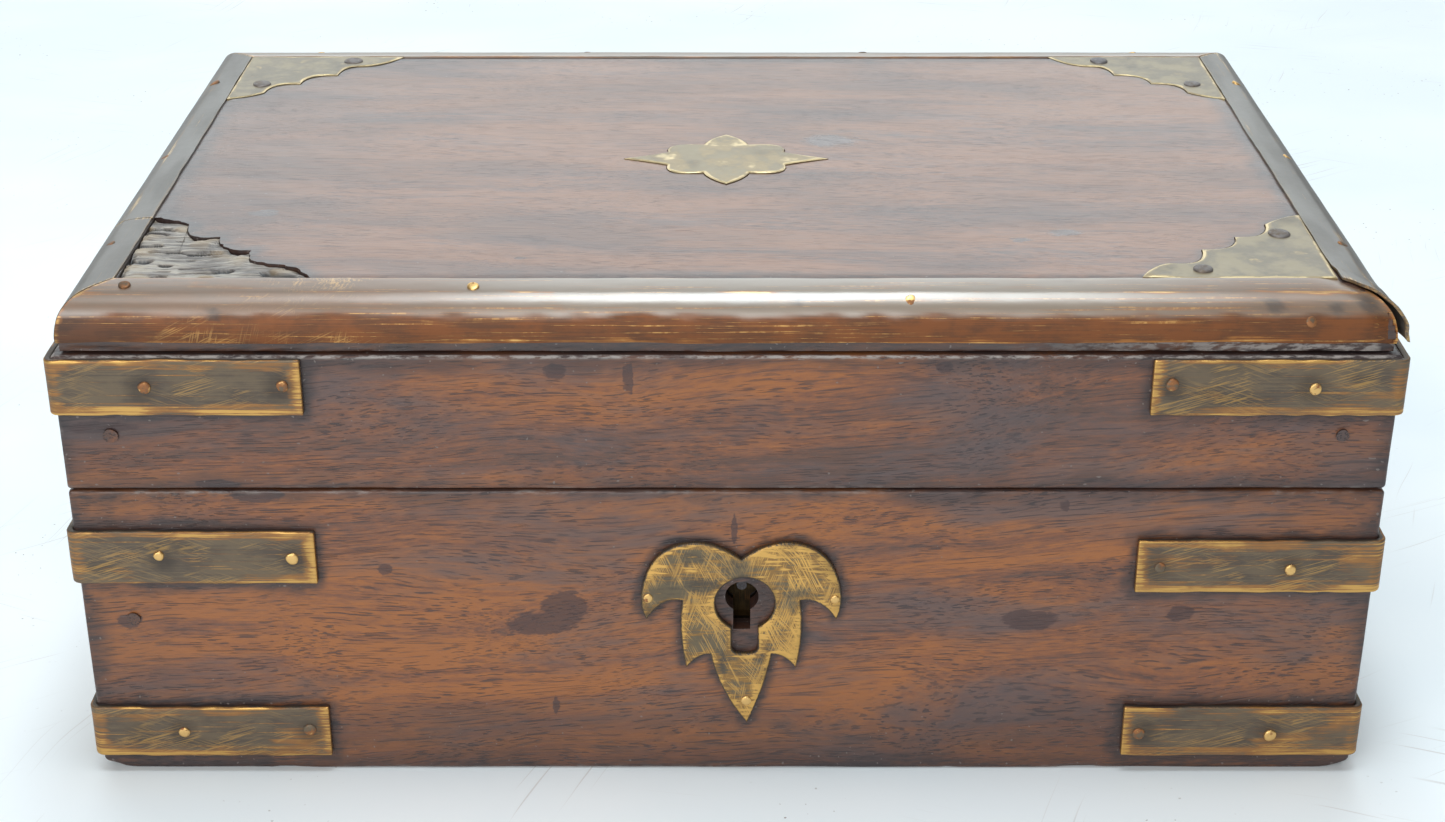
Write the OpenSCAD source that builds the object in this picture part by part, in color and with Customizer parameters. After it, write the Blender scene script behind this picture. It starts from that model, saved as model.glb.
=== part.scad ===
// Brass-bound hardwood tea caddy: a low box with a hinged lid, corner straps, a brass-clad lid edge,
// a leaf-shaped escutcheon over the keyhole and a link-plate lock inside the front board.
// Millimetres, +Z up, front towards -Y, origin on the table under the middle of the box.

/* [Box] */
// Width of the wooden box across its front
box_w = 254; // [230:1:300]
// Depth of the wooden box from front to back
box_d = 165; // [145:1:200]
// Height of the parting line between case and lid
parting_z = 64; // [62:1:80]
// Height of the lid's rails
rail_h = 28; // [24:1:40]
// Thickness of the walls of case and lid
wall_t = 12; // [12:0.5:14]
// Thickness of the bottom board
bottom_t = 8; // [6:0.5:10]
// Gap between the closed lid and the case
parting_gap = 0.4; // [0.2:0.1:0.6]

/* [Inside] */
// Thickness of the two partitions
partition_t = 6; // [4:0.5:8]
// Distance of each partition from the middle of the box
partition_x = 38; // [34:1:60]
// How far the partitions stop below the top of the case
partition_drop = 2; // [1:0.5:10]
// Depth of the grooves that hold the partitions
groove_depth = 3; // [2:0.5:4]

/* [Lid top] */
// Radius of the top board's rounded edge under its brass
edge_r = 8; // [6:0.5:9]
// How far the brass edge stands back from the faces of the rails
edge_setback = 1; // [0.5:0.5:2]
// Width of the brass edge in plan
edge_w = 10; // [9.5:0.5:14]
// Thickness of the sheet brass on the lid
sheet_t = 0.6; // [0.5:0.1:0.8]
// Where the left edge is patched, measured back from the front
patch_y = 43; // [30:1:60]
// Length of a corner plate along the front or back
plate_w = 37; // [30:1:45]
// Length of a corner plate along the side
plate_d = 33; // [26:1:40]
// Half the width of the plate in the middle of the lid
rosette_w = 22; // [16:1:26]
// Half the depth of the plate in the middle of the lid
rosette_d = 16; // [12:1:20]

/* [Straps] */
// Length of a strap's arm along each face
strap_arm = 47; // [40:1:52]
// Width of a strap
strap_w = 11.4; // [9:0.2:13]
// Thickness of a strap
strap_t = 1.3; // [1:0.1:1.6]
// Height of the lowest straps above the table
strap_low_z = 3.9; // [3:0.1:8]
// Height of the left middle straps above the table
strap_mid_left_z = 44; // [38:0.5:48]
// Height of the right middle straps above the table
strap_mid_right_z = 42; // [38:0.5:48]
// Height of the lid's straps above the bottom of the lid
strap_lid_z = 16.3; // [10:0.1:16.5]

/* [Lock and keyhole] */
// Keyhole's distance to the right of the middle of the box
key_x = 3; // [-6:0.5:6]
// Height of the keyhole's round part above the table
key_z = 40.4; // [38:0.1:42]
// Radius of the keyhole's round part
key_r = 3.3; // [2.6:0.1:3.5]
// How far the bolt slides
bolt_throw = 5; // [4:0.5:5]

/* [Hinges] */
// Distance of each hinge from the middle of the box
hinge_x = 70; // [60:1:85]
// Length of each hinge
hinge_l = 36; // [30:1:40]
// Radius of the hinge's knuckles
knuckle_r = 2.5; // [2.2:0.1:2.8]
// Radius of the hinge's pin
pin_r = 1; // [0.8:0.1:1.2]
// How far the lid opens
lid_open = 105; // [90:1:110]

/* [Hidden] */
$fn = 48;

// How far a cutter runs past the face that it opens
past = 1;
half_w = box_w / 2;
half_d = box_d / 2;
case_top = parting_z - parting_gap / 2;
lid_base = parting_z + parting_gap / 2;
rail_top = lid_base + rail_h;
// Depth of the rebates that join the boards
rebate = wall_t / 2;

// Colours
wood = "#6e3d27";
dark_wood = "#4f2c1f";
brass = "#8f7340";
pale_brass = "#9a9070";
iron = "#4b4038";

// Top board: a straight edge below, a quarter round, a bed for the brass and a raised field
edge_in = edge_setback + sheet_t;
edge_straight = 2.9;
arc_z = rail_top + edge_straight;
bed_z = arc_z + edge_r;
arc_in = edge_in + edge_r;
field_rise = 0.3;
field_z = bed_z + field_rise;
field_in = edge_setback + edge_w + 0.2;
skirt = 0.6;
mitre_gap = 0.15;
mitre_depth = 20;
shadow_gap = 0.4;
shadow_depth = 4;

// Corner plates and the rosette lie in shallow beds
plate_sink = 0.4;
bare_sink = 0.7;
plate_z = field_z - plate_sink;
plate_pins = [[25, 4], [6, 22.5]];
rosette_y = -3.2;
// Lobed side of a corner plate, as curves [start, control, end] in shares of its two straight sides
plate_curves = [
  [[1, 0], [0.89, 0.23], [0.74, 0.23]],
  [[0.74, 0.23], [0.63, 0.24], [0.62, 0.445]],
  [[0.62, 0.445], [0.42, 0.43], [0.41, 0.65]],
  [[0.41, 0.65], [0.22, 0.63], [0.21, 0.86]],
  [[0.21, 0.86], [0.11, 0.97], [0, 1]]
];
// A quarter of the rosette, in shares of half its width and half its depth
rosette_curves = [
  [[1, 0], [0.77, 0.11], [0.57, 0.25]],
  [[0.57, 0.25], [0.62, 0.67], [0.22, 0.56]],
  [[0.22, 0.56], [0.18, 0.8], [0, 1]]
];

// Nails: shank radius, length in the wood, head radius and head height
nail_r = 0.7;
nail_l = 8;
head_r = 1.1;
head_h = 0.4;
stud_head_r = 1.9;
stud_head_h = 0.7;
// Nails of a strap's arm, measured from the corner of the box
strap_nail_in = 17;
strap_nail_out = strap_arm - 4;
// Nails of the brass edge: place along the edge and angle up its quarter round
edge_nails_front = [[-113.5, 74], [-48, 72], [34.5, 50], [109.5, 24]];
edge_nails_back = [[-100, 60], [-34, 65], [34, 60], [100, 55]];
edge_nails_side = [[-52, 62], [0, 58], [52, 62]];
peg_r = 1.3;
peg_l = 24;
peg_in = 9.8;
case_peg_z = 35.5;
lid_peg_z = lid_base + 11.6;
bottom_nail_in = 9;
bottom_nail_l = 20;
bottom_nail_head = 0.6;
bottom_nail_head_r = 1.5;
bottom_nails_x = [-100, -55, 0, 55, 100];
bottom_nails_y = [-40, 0, 40];
top_nail_in = 10.4;
top_nail_l = 22;
top_nails_x = [-90, -30, 30, 90];
top_nails_y = [-36, 36];

// Hinge: the knuckles stand out of the back as far as a nailed strap does
axis_y = half_d + strap_t + head_h - knuckle_r;
axis_z = parting_z;
leaf_t = 1.2;
knuckles = 5;
knuckle_l = hinge_l / knuckles;
knuckle_gap = 0.1;
knuckle_clear = 0.3;
leaf_back = axis_y - knuckle_r - knuckle_clear;
leaf_front = half_d - wall_t;
pin_clear = 0.05;
stop_angle = lid_open / 2 + 1;
chamfer_reach = 5;
screw_r = 1;
screw_head_r = 2;
screw_l = 9;
small_screw_r = 0.8;
small_screw_head_r = 1.6;
small_screw_l = 7;
hinge_screw_y = (leaf_front + leaf_back) / 2;
hinge_screw_step = 12;

// Lock: all of it lies in a mortise behind the front board's inner face
inner_y = -half_d + wall_t;
lock_plate_t = 1.2;
lock_half_w = 22;
lock_low = 26;
selvedge_t = 1.4;
lock_depth = 7.7;
rim_half_w = 18.5;
rim_low = 30;
rim_t = 1;
cap_t = 1;
lock_roof = case_top - selvedge_t;
bolt_y = inner_y - lock_plate_t - (lock_depth - lock_plate_t - cap_t) / 2;
bar_half = 2.5;
bar_low = 48.5;
bar_high = 54;
bar_left = key_x - 15.8;
bar_right = key_x + 12;
talon_low = 45;
talon_top = 48;
talon_w = 5;
tongue = [-8, 3];
ledge_t = 2.4;
prong_half = 0.9;
prong_low = 56.1;
prong_high = 59.5;
prong_gap = 0.6;
riser_w = 2.5;
riser_clear = 0.3;
staples_x = [key_x - 7, key_x + 9];
staple_half_t = 1;
staple_half_w = 2;
staple_low = 54.4;
eye_half = 1.15;
eye_low = 55.6;
eye_high = 60;
slot_clear = 0.5;
stump_x = key_x + 9;
stump_z = 51.25;
stump_r = 1;
post_r = 1;
post_l = 6.3;
ward_r = 4.2;
ward_t = 0.6;
ward_h = 1.2;
key_slot_half = 1.7;
key_slot_low = key_z - 7.4;
link_half_w = 20;
link_t = 1.4;
link_screw_dx = 15.5;
lock_screw_dx = 20.2;
lock_screws_z = [34, 54];
spring_t = 0.5;
spring_r = 2.2;
spring_x = key_x - 2.6;
spring_z = 60;

// Escutcheon: half of its leaf outline, as curves [start, control, end] in x from its axis and z
leaf_axis = 2.9;
leaf_tip = [1.2, 11.8];
curve_steps = 8;
leaf_curves = [
  [[0, 49.3], [4.2, 52.9], [9.2, 53]],
  [[9.2, 53], [18.4, 52.6], [19.7, 41.5]],
  [[19.7, 41.5], [19.9, 38], [18.7, 35.8]],
  [[18.7, 35.8], [15.8, 41], [11.6, 40.2]],
  [[11.6, 40.2], [12.6, 32], [10.9, 24.8]],
  [[10.9, 24.8], [8.6, 28], [6.1, 27.9]]
];
leaf_root = [6.1, 27.9];
leaf_belly = [4.6, 19.5];
leaf_eye = [3.6, 39.4];
leaf_eye_r = 5.9;
leaf_slot_half = 2.6;
leaf_slot_low = 28;
leaf_pins = [[-15.2, 40.6], [21.3, 40.4], [4, 17]];
leaf_pin_r = 0.6;
leaf_pin_head_r = 0.9;
leaf_pin_l = 3.4;

function bend(c, t) = (1 - t) * (1 - t) * c[0] + 2 * t * (1 - t) * c[1] + t * t * c[2];
function curve(c) = [for (i = [0 : curve_steps - 1]) bend(c, i / curve_steps)];
function curves(list) = [for (c = list) each curve(c)];
function scaled(points, w, d) = [for (p = points) [p.x * w, p.y * d]];
// The points in reverse order without the first one, to close an outline by symmetry
function returning(points) = [for (i = [len(points) - 1 : -1 : 1]) points[i]];

// --- helpers -----------------------------------------------------------------------------------

// A block between its lowest and highest corners
module block(lo, hi) {
  translate(lo) cube(hi - lo);
}

// A cylinder along Y from y0 to y1
module rod_y(x, z, r, y0, y1) {
  translate([x, y1, z]) rotate([90, 0, 0]) cylinder(h = y1 - y0, r = r);
}

// A cylinder along X, centred on the hinge's axis, from x0 to x1
module rod_hinge(r, x0, x1) {
  translate([x0, axis_y, axis_z]) rotate([0, 90, 0]) cylinder(h = x1 - x0, r = r);
}

// A nail that points down, with its head's underside at the origin
module nail(r, l, hr, hh) {
  translate([0, 0, -l]) cylinder(h = l, r = r);
  cylinder(h = hh, r1 = hr, r2 = hr * 0.6);
}

// A countersunk screw that points down, with its flat head's top at the origin
module screw_blank(r, hr, l) {
  sink = hr - r;
  translate([0, 0, -sink]) cylinder(h = sink, r1 = r, r2 = hr);
  translate([0, 0, -l]) cylinder(h = l - sink, r = r);
}

module screw(r, hr, l) {
  difference() {
    screw_blank(r, hr, l);
    translate([-hr, -0.25, -0.4]) cube([2 * hr, 0.5, 1]);
  }
}

// Mirror its children from the case to the lid, about the parting plane
module to_lid() {
  translate([0, 0, 2 * axis_z]) mirror([0, 0, 1]) children();
}

// --- boards of the case and the lid --------------------------------------------------------------

// A long board across the front (s = -1) or the back (s = 1), rebated for the side boards
module long_board(s, z0, z1) {
  outer = s * half_d;
  inner = s * (half_d - wall_t);
  step = s * (half_d - rebate);
  difference() {
    block([-half_w, min(outer, inner), z0], [half_w, max(outer, inner), z1]);
    for (sx = [-1, 1]) {
      block([min(sx * (half_w - wall_t), sx * (half_w + past)), min(step, inner - s * past), z0 - past],
            [max(sx * (half_w - wall_t), sx * (half_w + past)), max(step, inner - s * past), z1 + past]);
    }
  }
}

// A side board at the left (s = -1) or the right (s = 1), between the long boards' rebates
module side_board(s, z0, z1) {
  block([min(s * half_w, s * (half_w - wall_t)), -half_d + rebate, z0],
        [max(s * half_w, s * (half_w - wall_t)), half_d - rebate, z1]);
}

// The space that the bottom board takes
module bottom_space() {
  block([-half_w + rebate, -half_d + rebate, 0], [half_w - rebate, half_d - rebate, bottom_t]);
}

module partition_space(s, top) {
  block([s * partition_x - partition_t / 2, inner_y - groove_depth, bottom_t],
        [s * partition_x + partition_t / 2, -inner_y + groove_depth, top]);
}

// V cut behind the hinge's axis that stops the lid at its open angle
module stop_chamfer() {
  translate([-half_w - past, axis_y, axis_z]) rotate([90, 0, 90])
    linear_extrude(box_w + 2 * past)
      polygon([[0, 0], [chamfer_reach, -chamfer_reach * tan(stop_angle)], [chamfer_reach, 0]]);
}

// Recesses for the two case leaves and their knuckles
module hinge_recess() {
  for (s = [-1, 1]) {
    x0 = s * hinge_x - hinge_l / 2;
    block([x0, leaf_front, case_top - leaf_t], [x0 + hinge_l, axis_y, case_top + past]);
    rod_hinge(knuckle_r + knuckle_clear, x0, x0 + hinge_l);
    hinge_screw_places(s) screw_blank(screw_r, screw_head_r, screw_l);
  }
}

module hinge_screw_places(s) {
  for (i = [-1, 0, 1]) {
    translate([s * hinge_x + i * hinge_screw_step, hinge_screw_y, case_top]) children();
  }
}

module case_front() {
  color(wood) difference() {
    long_board(-1, 0, case_top);
    bottom_space();
    partition_space(-1, case_top + past);
    partition_space(1, case_top + past);
    lock_mortise();
    key_cut(-half_d - past, inner_y);
    strap_nail_shanks(-1, 0, case_levels);
    escutcheon_pin_shanks();
    case_peg_shapes(-1);
    bottom_nail_shapes();
    lock_screw_places() screw_blank(small_screw_r, small_screw_head_r, small_screw_l);
  }
}

module case_back() {
  color(wood) difference() {
    long_board(1, 0, case_top);
    bottom_space();
    partition_space(-1, case_top + past);
    partition_space(1, case_top + past);
    stop_chamfer();
    hinge_recess();
    strap_nail_shanks(1, 0, case_levels);
    case_peg_shapes(1);
    bottom_nail_shapes();
  }
}

module case_side(s) {
  difference() {
    side_board(s, 0, case_top);
    bottom_space();
    strap_nail_shanks(0, s, case_levels);
    case_peg_shapes(-1);
    case_peg_shapes(1);
    bottom_nail_shapes();
  }
}

module case_left() { color(wood) case_side(-1); }
module case_right() { color(wood) case_side(1); }

module case_bottom() {
  color(dark_wood) difference() {
    bottom_space();
    bottom_nail_shapes();
  }
}

module partition_left() { color(dark_wood) partition_space(-1, case_top - partition_drop); }
module partition_right() { color(dark_wood) partition_space(1, case_top - partition_drop); }

// Nails up through the bottom board into the walls, their heads let in flush
module bottom_nail_shapes() {
  in_x = half_w - bottom_nail_in;
  in_y = half_d - bottom_nail_in;
  for (s = [-1, 1]) {
    for (x = bottom_nails_x) translate([x, s * in_y, 0]) bottom_nail();
    for (y = bottom_nails_y) translate([s * in_x, y, 0]) bottom_nail();
  }
}

module bottom_nail() {
  cylinder(h = bottom_nail_l, r = nail_r);
  cylinder(h = bottom_nail_head, r = bottom_nail_head_r);
}

module bottom_nails() { color(iron) bottom_nail_shapes(); }

// Pegs through a long board into the side boards' ends
module case_peg_shapes(s) {
  for (sx = [-1, 1]) peg(s, sx * (half_w - peg_in), case_peg_z);
}

module lid_peg_shapes(s) {
  for (sx = [-1, 1]) peg(s, sx * (half_w - peg_in), lid_peg_z);
}

module peg(s, x, z) {
  rod_y(x, z, peg_r, min(s * half_d, s * (half_d - peg_l)), max(s * half_d, s * (half_d - peg_l)));
}

module case_corner_pegs() {
  color(dark_wood) {
    case_peg_shapes(-1);
    case_peg_shapes(1);
  }
}

module lid_corner_pegs() {
  color(dark_wood) {
    lid_peg_shapes(-1);
    lid_peg_shapes(1);
  }
}

module lid_front() {
  color(wood) difference() {
    long_board(-1, lid_base, rail_top);
    link_recess();
    strap_nail_shanks(-1, 0, lid_levels);
    lid_peg_shapes(-1);
    top_nail_shapes();
  }
}

module lid_back() {
  color(wood) difference() {
    long_board(1, lid_base, rail_top);
    to_lid() stop_chamfer();
    to_lid() hinge_recess();
    strap_nail_shanks(1, 0, lid_levels);
    lid_peg_shapes(1);
    top_nail_shapes();
  }
}

module lid_side(s) {
  difference() {
    side_board(s, lid_base, rail_top);
    strap_nail_shanks(0, s, lid_levels);
    lid_peg_shapes(-1);
    lid_peg_shapes(1);
    top_nail_shapes();
  }
}

module lid_left() { color(wood) lid_side(-1); }
module lid_right() { color(wood) lid_side(1); }

// Section of the top board across a span, with quarter rounds at both ends
module top_section(span) {
  intersection() {
    translate([-span / 2, rail_top]) square([span, bed_z - rail_top]);
    union() {
      translate([-span / 2 + edge_in, rail_top]) square([span - 2 * edge_in, edge_straight]);
      translate([-span / 2 + arc_in, rail_top]) square([span - 2 * arc_in, bed_z - rail_top]);
      for (s = [-1, 1]) translate([s * (span / 2 - arc_in), arc_z]) circle(r = edge_r);
    }
  }
}

module top_blank() {
  intersection() {
    rotate([90, 0, 90]) linear_extrude(box_w, center = true) top_section(box_d);
    rotate([90, 0, 0]) linear_extrude(box_d, center = true) top_section(box_w);
  }
  block([-half_w + field_in, -half_d + field_in, bed_z - past],
        [half_w - field_in, half_d - field_in, field_z]);
}

// The thin shrinkage gap that runs round under the top board's edge
module shadow_cut() {
  difference() {
    block([-half_w, -half_d, rail_top - past], [half_w, half_d, rail_top + shadow_gap]);
    block([-half_w + shadow_depth, -half_d + shadow_depth, rail_top - 2 * past],
          [half_w - shadow_depth, half_d - shadow_depth, rail_top + past]);
  }
}

module lid_top() {
  color(wood) difference() {
    top_blank();
    shadow_cut();
    corner_bed(1, -1, plate_sink);
    corner_bed(-1, 1, plate_sink);
    corner_bed(1, 1, plate_sink);
    corner_bed(-1, -1, bare_sink);
    translate([0, 0, plate_z]) linear_extrude(past) rosette_outline();
    edge_nail_shanks();
    plate_pin_shanks();
    top_nail_shapes();
  }
}

// Nails from the bed of the brass down into the rails
module top_nail_shapes() {
  for (s = [-1, 1]) {
    for (x = top_nails_x) translate([x, s * (half_d - top_nail_in), 0]) top_nail();
    for (y = top_nails_y) translate([s * (half_w - top_nail_in), y, 0]) top_nail();
  }
}

module top_nail() {
  translate([0, 0, bed_z - top_nail_l]) cylinder(h = top_nail_l, r = nail_r);
}

module lid_top_nails() { color(iron) top_nail_shapes(); }

// --- straps --------------------------------------------------------------------------------------

// Heights of the straps on the left and the right
case_levels = [[strap_low_z, strap_low_z], [strap_mid_left_z, strap_mid_right_z]];
lid_levels = [[lid_base + strap_lid_z, lid_base + strap_lid_z]];

// Nail places on the front or back arms (sy) and on the side arms (sx), at the given levels
module strap_nail_places(sy, sx, levels) {
  for (level = levels, d = [strap_nail_in, strap_nail_out], s = [-1, 1]) {
    if (sy != 0)
      translate([s * (half_w - d), sy * (half_d + strap_t), level[s < 0 ? 0 : 1] + strap_w / 2])
        rotate([-90 * sy, 0, 0]) children();
    if (sx != 0)
      translate([sx * (half_w + strap_t), s * (half_d - d), level[sx < 0 ? 0 : 1] + strap_w / 2])
        rotate([0, 90 * sx, 0]) children();
  }
}

module strap_nail_shanks(sy, sx, levels) {
  strap_nail_places(sy, sx, levels) translate([0, 0, -nail_l]) cylinder(h = nail_l, r = nail_r);
}

module strap_nails(levels) {
  for (s = [-1, 1]) {
    strap_nail_places(s, 0, levels) nail(nail_r, nail_l, head_r, head_h);
    strap_nail_places(0, s, levels) nail(nail_r, nail_l, head_r, head_h);
  }
}

module case_strap_nails() { color(brass) strap_nails(case_levels); }
module lid_strap_nails() { color(brass) strap_nails(lid_levels); }

// One strap bent round a corner of the box, with four nail holes
module strap(sx, sy, level) {
  z0 = level[sx < 0 ? 0 : 1];
  color(brass) difference() {
    translate([0, 0, z0]) mirror([sx < 0 ? 1 : 0, 0, 0]) mirror([0, sy < 0 ? 1 : 0, 0]) {
      block([half_w - strap_arm, half_d, 0], [half_w, half_d + strap_t, strap_w]);
      block([half_w, half_d - strap_arm, 0], [half_w + strap_t, half_d, strap_w]);
      translate([half_w, half_d, 0]) intersection() {
        cylinder(h = strap_w, r = strap_t);
        cube([strap_t, strap_t, strap_w]);
      }
    }
    strap_nail_shanks(sy, sx, [level]);
  }
}

module strap_low_front_left() { strap(-1, -1, case_levels[0]); }
module strap_low_front_right() { strap(1, -1, case_levels[0]); }
module strap_low_back_left() { strap(-1, 1, case_levels[0]); }
module strap_low_back_right() { strap(1, 1, case_levels[0]); }
module strap_mid_front_left() { strap(-1, -1, case_levels[1]); }
module strap_mid_front_right() { strap(1, -1, case_levels[1]); }
module strap_mid_back_left() { strap(-1, 1, case_levels[1]); }
module strap_mid_back_right() { strap(1, 1, case_levels[1]); }
module strap_lid_front_left() { strap(-1, -1, lid_levels[0]); }
module strap_lid_front_right() { strap(1, -1, lid_levels[0]); }
module strap_lid_back_left() { strap(-1, 1, lid_levels[0]); }
module strap_lid_back_right() { strap(1, 1, lid_levels[0]); }

// --- escutcheon ----------------------------------------------------------------------------------

// The last curve of each half runs to the bent tip
function leaf_half(tip_x) = concat(
  curves(leaf_curves),
  curve([leaf_root, leaf_belly, [tip_x, leaf_tip.y]])
);

module leaf_outline() {
  translate([leaf_axis, 0]) difference() {
    polygon(concat(
      leaf_half(leaf_tip.x),
      [leaf_tip],
      returning(scaled(leaf_half(-leaf_tip.x), -1, 1))
    ));
    translate([leaf_eye.x - leaf_axis, leaf_eye.y]) circle(r = leaf_eye_r);
    translate([leaf_eye.x - leaf_axis - leaf_slot_half, leaf_slot_low])
      square([2 * leaf_slot_half, leaf_eye.y - leaf_slot_low]);
  }
}

module leaf_pin_places() {
  for (p = leaf_pins) translate([p.x, -half_d - strap_t, p.y]) rotate([90, 0, 0]) children();
}

module escutcheon_pin_shanks() {
  leaf_pin_places() translate([0, 0, -leaf_pin_l]) cylinder(h = leaf_pin_l, r = leaf_pin_r);
}

module escutcheon() {
  color(brass) difference() {
    translate([0, -half_d, 0]) rotate([90, 0, 0]) linear_extrude(strap_t) leaf_outline();
    escutcheon_pin_shanks();
  }
}

module escutcheon_pins() {
  color(brass) leaf_pin_places() nail(leaf_pin_r, leaf_pin_l, leaf_pin_head_r, head_h);
}

// --- lock ----------------------------------------------------------------------------------------

// The keyhole: a round hole over a slot, along Y from y0 to y1
module key_cut(y0, y1) {
  rod_y(key_x, key_z, key_r, y0, y1);
  block([key_x - key_slot_half, y0, key_slot_low], [key_x + key_slot_half, y1, key_z]);
}

module lock_mortise() {
  block([key_x - lock_half_w, inner_y - lock_plate_t, lock_low],
        [key_x + lock_half_w, inner_y + past, case_top + past]);
  block([key_x - rim_half_w, inner_y - lock_depth, rim_low],
        [key_x + rim_half_w, inner_y + past, case_top + past]);
  block([key_x - lock_half_w, inner_y - lock_depth, lock_roof],
        [key_x + lock_half_w, inner_y + past, case_top + past]);
}

module lock_screw_places() {
  for (s = [-1, 1], z = lock_screws_z) {
    translate([key_x + s * lock_screw_dx, inner_y, z]) rotate([-90, 0, 0]) children();
  }
}

module lock_case() {
  rim_back = inner_y - lock_plate_t;
  rim_front = inner_y - lock_depth + cap_t;
  color(brass) difference() {
    union() {
      block([key_x - lock_half_w, rim_back, lock_low], [key_x + lock_half_w, inner_y, case_top]);
      block([key_x - lock_half_w, inner_y - lock_depth, lock_roof],
            [key_x + lock_half_w, inner_y, case_top]);
      difference() {
        block([key_x - rim_half_w, rim_front, rim_low], [key_x + rim_half_w, rim_back, lock_roof]);
        block([key_x - rim_half_w + rim_t, rim_front - past, rim_low + rim_t],
              [key_x + rim_half_w - rim_t, rim_back, lock_roof]);
      }
      for (s = [-1, 1]) {
        near = key_x + s * (max(-tongue[0], tongue[1] + bolt_throw) + riser_clear);
        far = key_x + s * (rim_half_w - rim_t / 2);
        block([min(near, far), rim_front, bar_low - ledge_t], [max(near, far), rim_back, bar_low - 0.1]);
      }
      rod_y(stump_x, stump_z, stump_r, bolt_y - bar_half, rim_back);
    }
    for (x = staples_x) {
      block([x - staple_half_t - slot_clear, bolt_y - staple_half_w - slot_clear, lock_roof - past],
            [x + staple_half_t + slot_clear, bolt_y + staple_half_w + slot_clear, case_top + past]);
    }
    lock_screw_places() screw_blank(small_screw_r, small_screw_head_r, small_screw_l);
  }
}

module lock_cap() {
  color(brass) difference() {
    block([key_x - rim_half_w, inner_y - lock_depth, rim_low],
          [key_x + rim_half_w, inner_y - lock_depth + cap_t, lock_roof]);
    key_cut(inner_y - lock_depth - past, inner_y);
  }
}

// A ring on the cap that only the right key's bit passes
module lock_ward() {
  y0 = inner_y - lock_depth + cap_t;
  color(iron) difference() {
    rod_y(key_x, key_z, ward_r, y0, y0 + ward_h);
    rod_y(key_x, key_z, ward_r - ward_t, y0 - past, y0 + ward_h + past);
    block([key_x - key_slot_half, y0 - past, key_slot_low], [key_x + key_slot_half, y0 + 2 * past, key_z]);
  }
}

module key_post() {
  color(iron) rod_y(key_x, key_z, post_r, inner_y - lock_plate_t - post_l, inner_y - lock_plate_t);
}

module lock_screws() {
  color(iron) lock_screw_places() screw(small_screw_r, small_screw_head_r, small_screw_l);
}

// The bolt, drawn back: a bar on a stump, with a talon for the key and a prong for each staple
module lock_bolt() {
  slot_half = stump_r + pin_clear;
  color(pale_brass) difference() {
    union() {
      block([bar_left, bolt_y - bar_half, bar_low], [bar_right, bolt_y + bar_half, bar_high]);
      block([key_x + tongue[0], bolt_y - bar_half, talon_low],
            [key_x + tongue[1], bolt_y + bar_half, bar_low]);
      for (x = staples_x) {
        root = x - staple_half_t - bolt_throw - riser_clear;
        block([root - riser_w, bolt_y - prong_half, bar_high], [root, bolt_y + prong_half, prong_high]);
        block([root, bolt_y - prong_half, prong_low],
              [x - staple_half_t - prong_gap, bolt_y + prong_half, prong_high]);
      }
    }
    for (x = [stump_x - bolt_throw, stump_x]) {
      rod_y(x, stump_z, slot_half, bolt_y - bar_half - past, bolt_y + bar_half + past);
    }
    block([stump_x - bolt_throw, bolt_y - bar_half - past, stump_z - slot_half],
          [stump_x, bolt_y + bar_half + past, stump_z + slot_half]);
    block([key_x - talon_w, bolt_y - bar_half - past, talon_low - past],
          [key_x, bolt_y + bar_half + past, talon_top]);
  }
}

// A hairpin spring on the bolt that presses under the selvedge
module bolt_spring() {
  color(iron) {
    for (s = [-1, 1]) {
      x = spring_x + s * (spring_r - spring_t / 2);
      block([x - spring_t / 2, bolt_y - prong_half, bar_high],
            [x + spring_t / 2, bolt_y + prong_half, spring_z]);
    }
    difference() {
      rod_y(spring_x, spring_z, spring_r, bolt_y - prong_half, bolt_y + prong_half);
      rod_y(spring_x, spring_z, spring_r - spring_t,
            bolt_y - prong_half - past, bolt_y + prong_half + past);
      block([spring_x - spring_r - past, bolt_y - prong_half - past, spring_z - spring_r - past],
            [spring_x + spring_r + past, bolt_y + prong_half + past, spring_z]);
    }
  }
}

// The link plate in the lid's front rail, with two staples for the bolt
module link_recess() {
  block([key_x - link_half_w, inner_y - lock_depth, lid_base - past],
        [key_x + link_half_w, inner_y + past, lid_base + link_t]);
  link_screw_places() screw_blank(screw_r, screw_head_r, screw_l);
}

module link_screw_places() {
  for (s = [-1, 1]) {
    translate([key_x + s * link_screw_dx, bolt_y, lid_base]) rotate([180, 0, 0]) children();
  }
}

module link_plate() {
  color(brass) difference() {
    union() {
      block([key_x - link_half_w, inner_y - lock_depth, lid_base],
            [key_x + link_half_w, inner_y, lid_base + link_t]);
      for (x = staples_x) {
        block([x - staple_half_t, bolt_y - staple_half_w, staple_low],
              [x + staple_half_t, bolt_y + staple_half_w, lid_base]);
      }
    }
    for (x = staples_x) {
      block([x - 2 * staple_half_t, bolt_y - eye_half, eye_low],
            [x + 2 * staple_half_t, bolt_y + eye_half, eye_high]);
    }
    link_screw_places() screw_blank(screw_r, screw_head_r, screw_l);
  }
}

module link_screws() {
  color(iron) link_screw_places() screw(screw_r, screw_head_r, screw_l);
}

// --- hinges --------------------------------------------------------------------------------------

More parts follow.
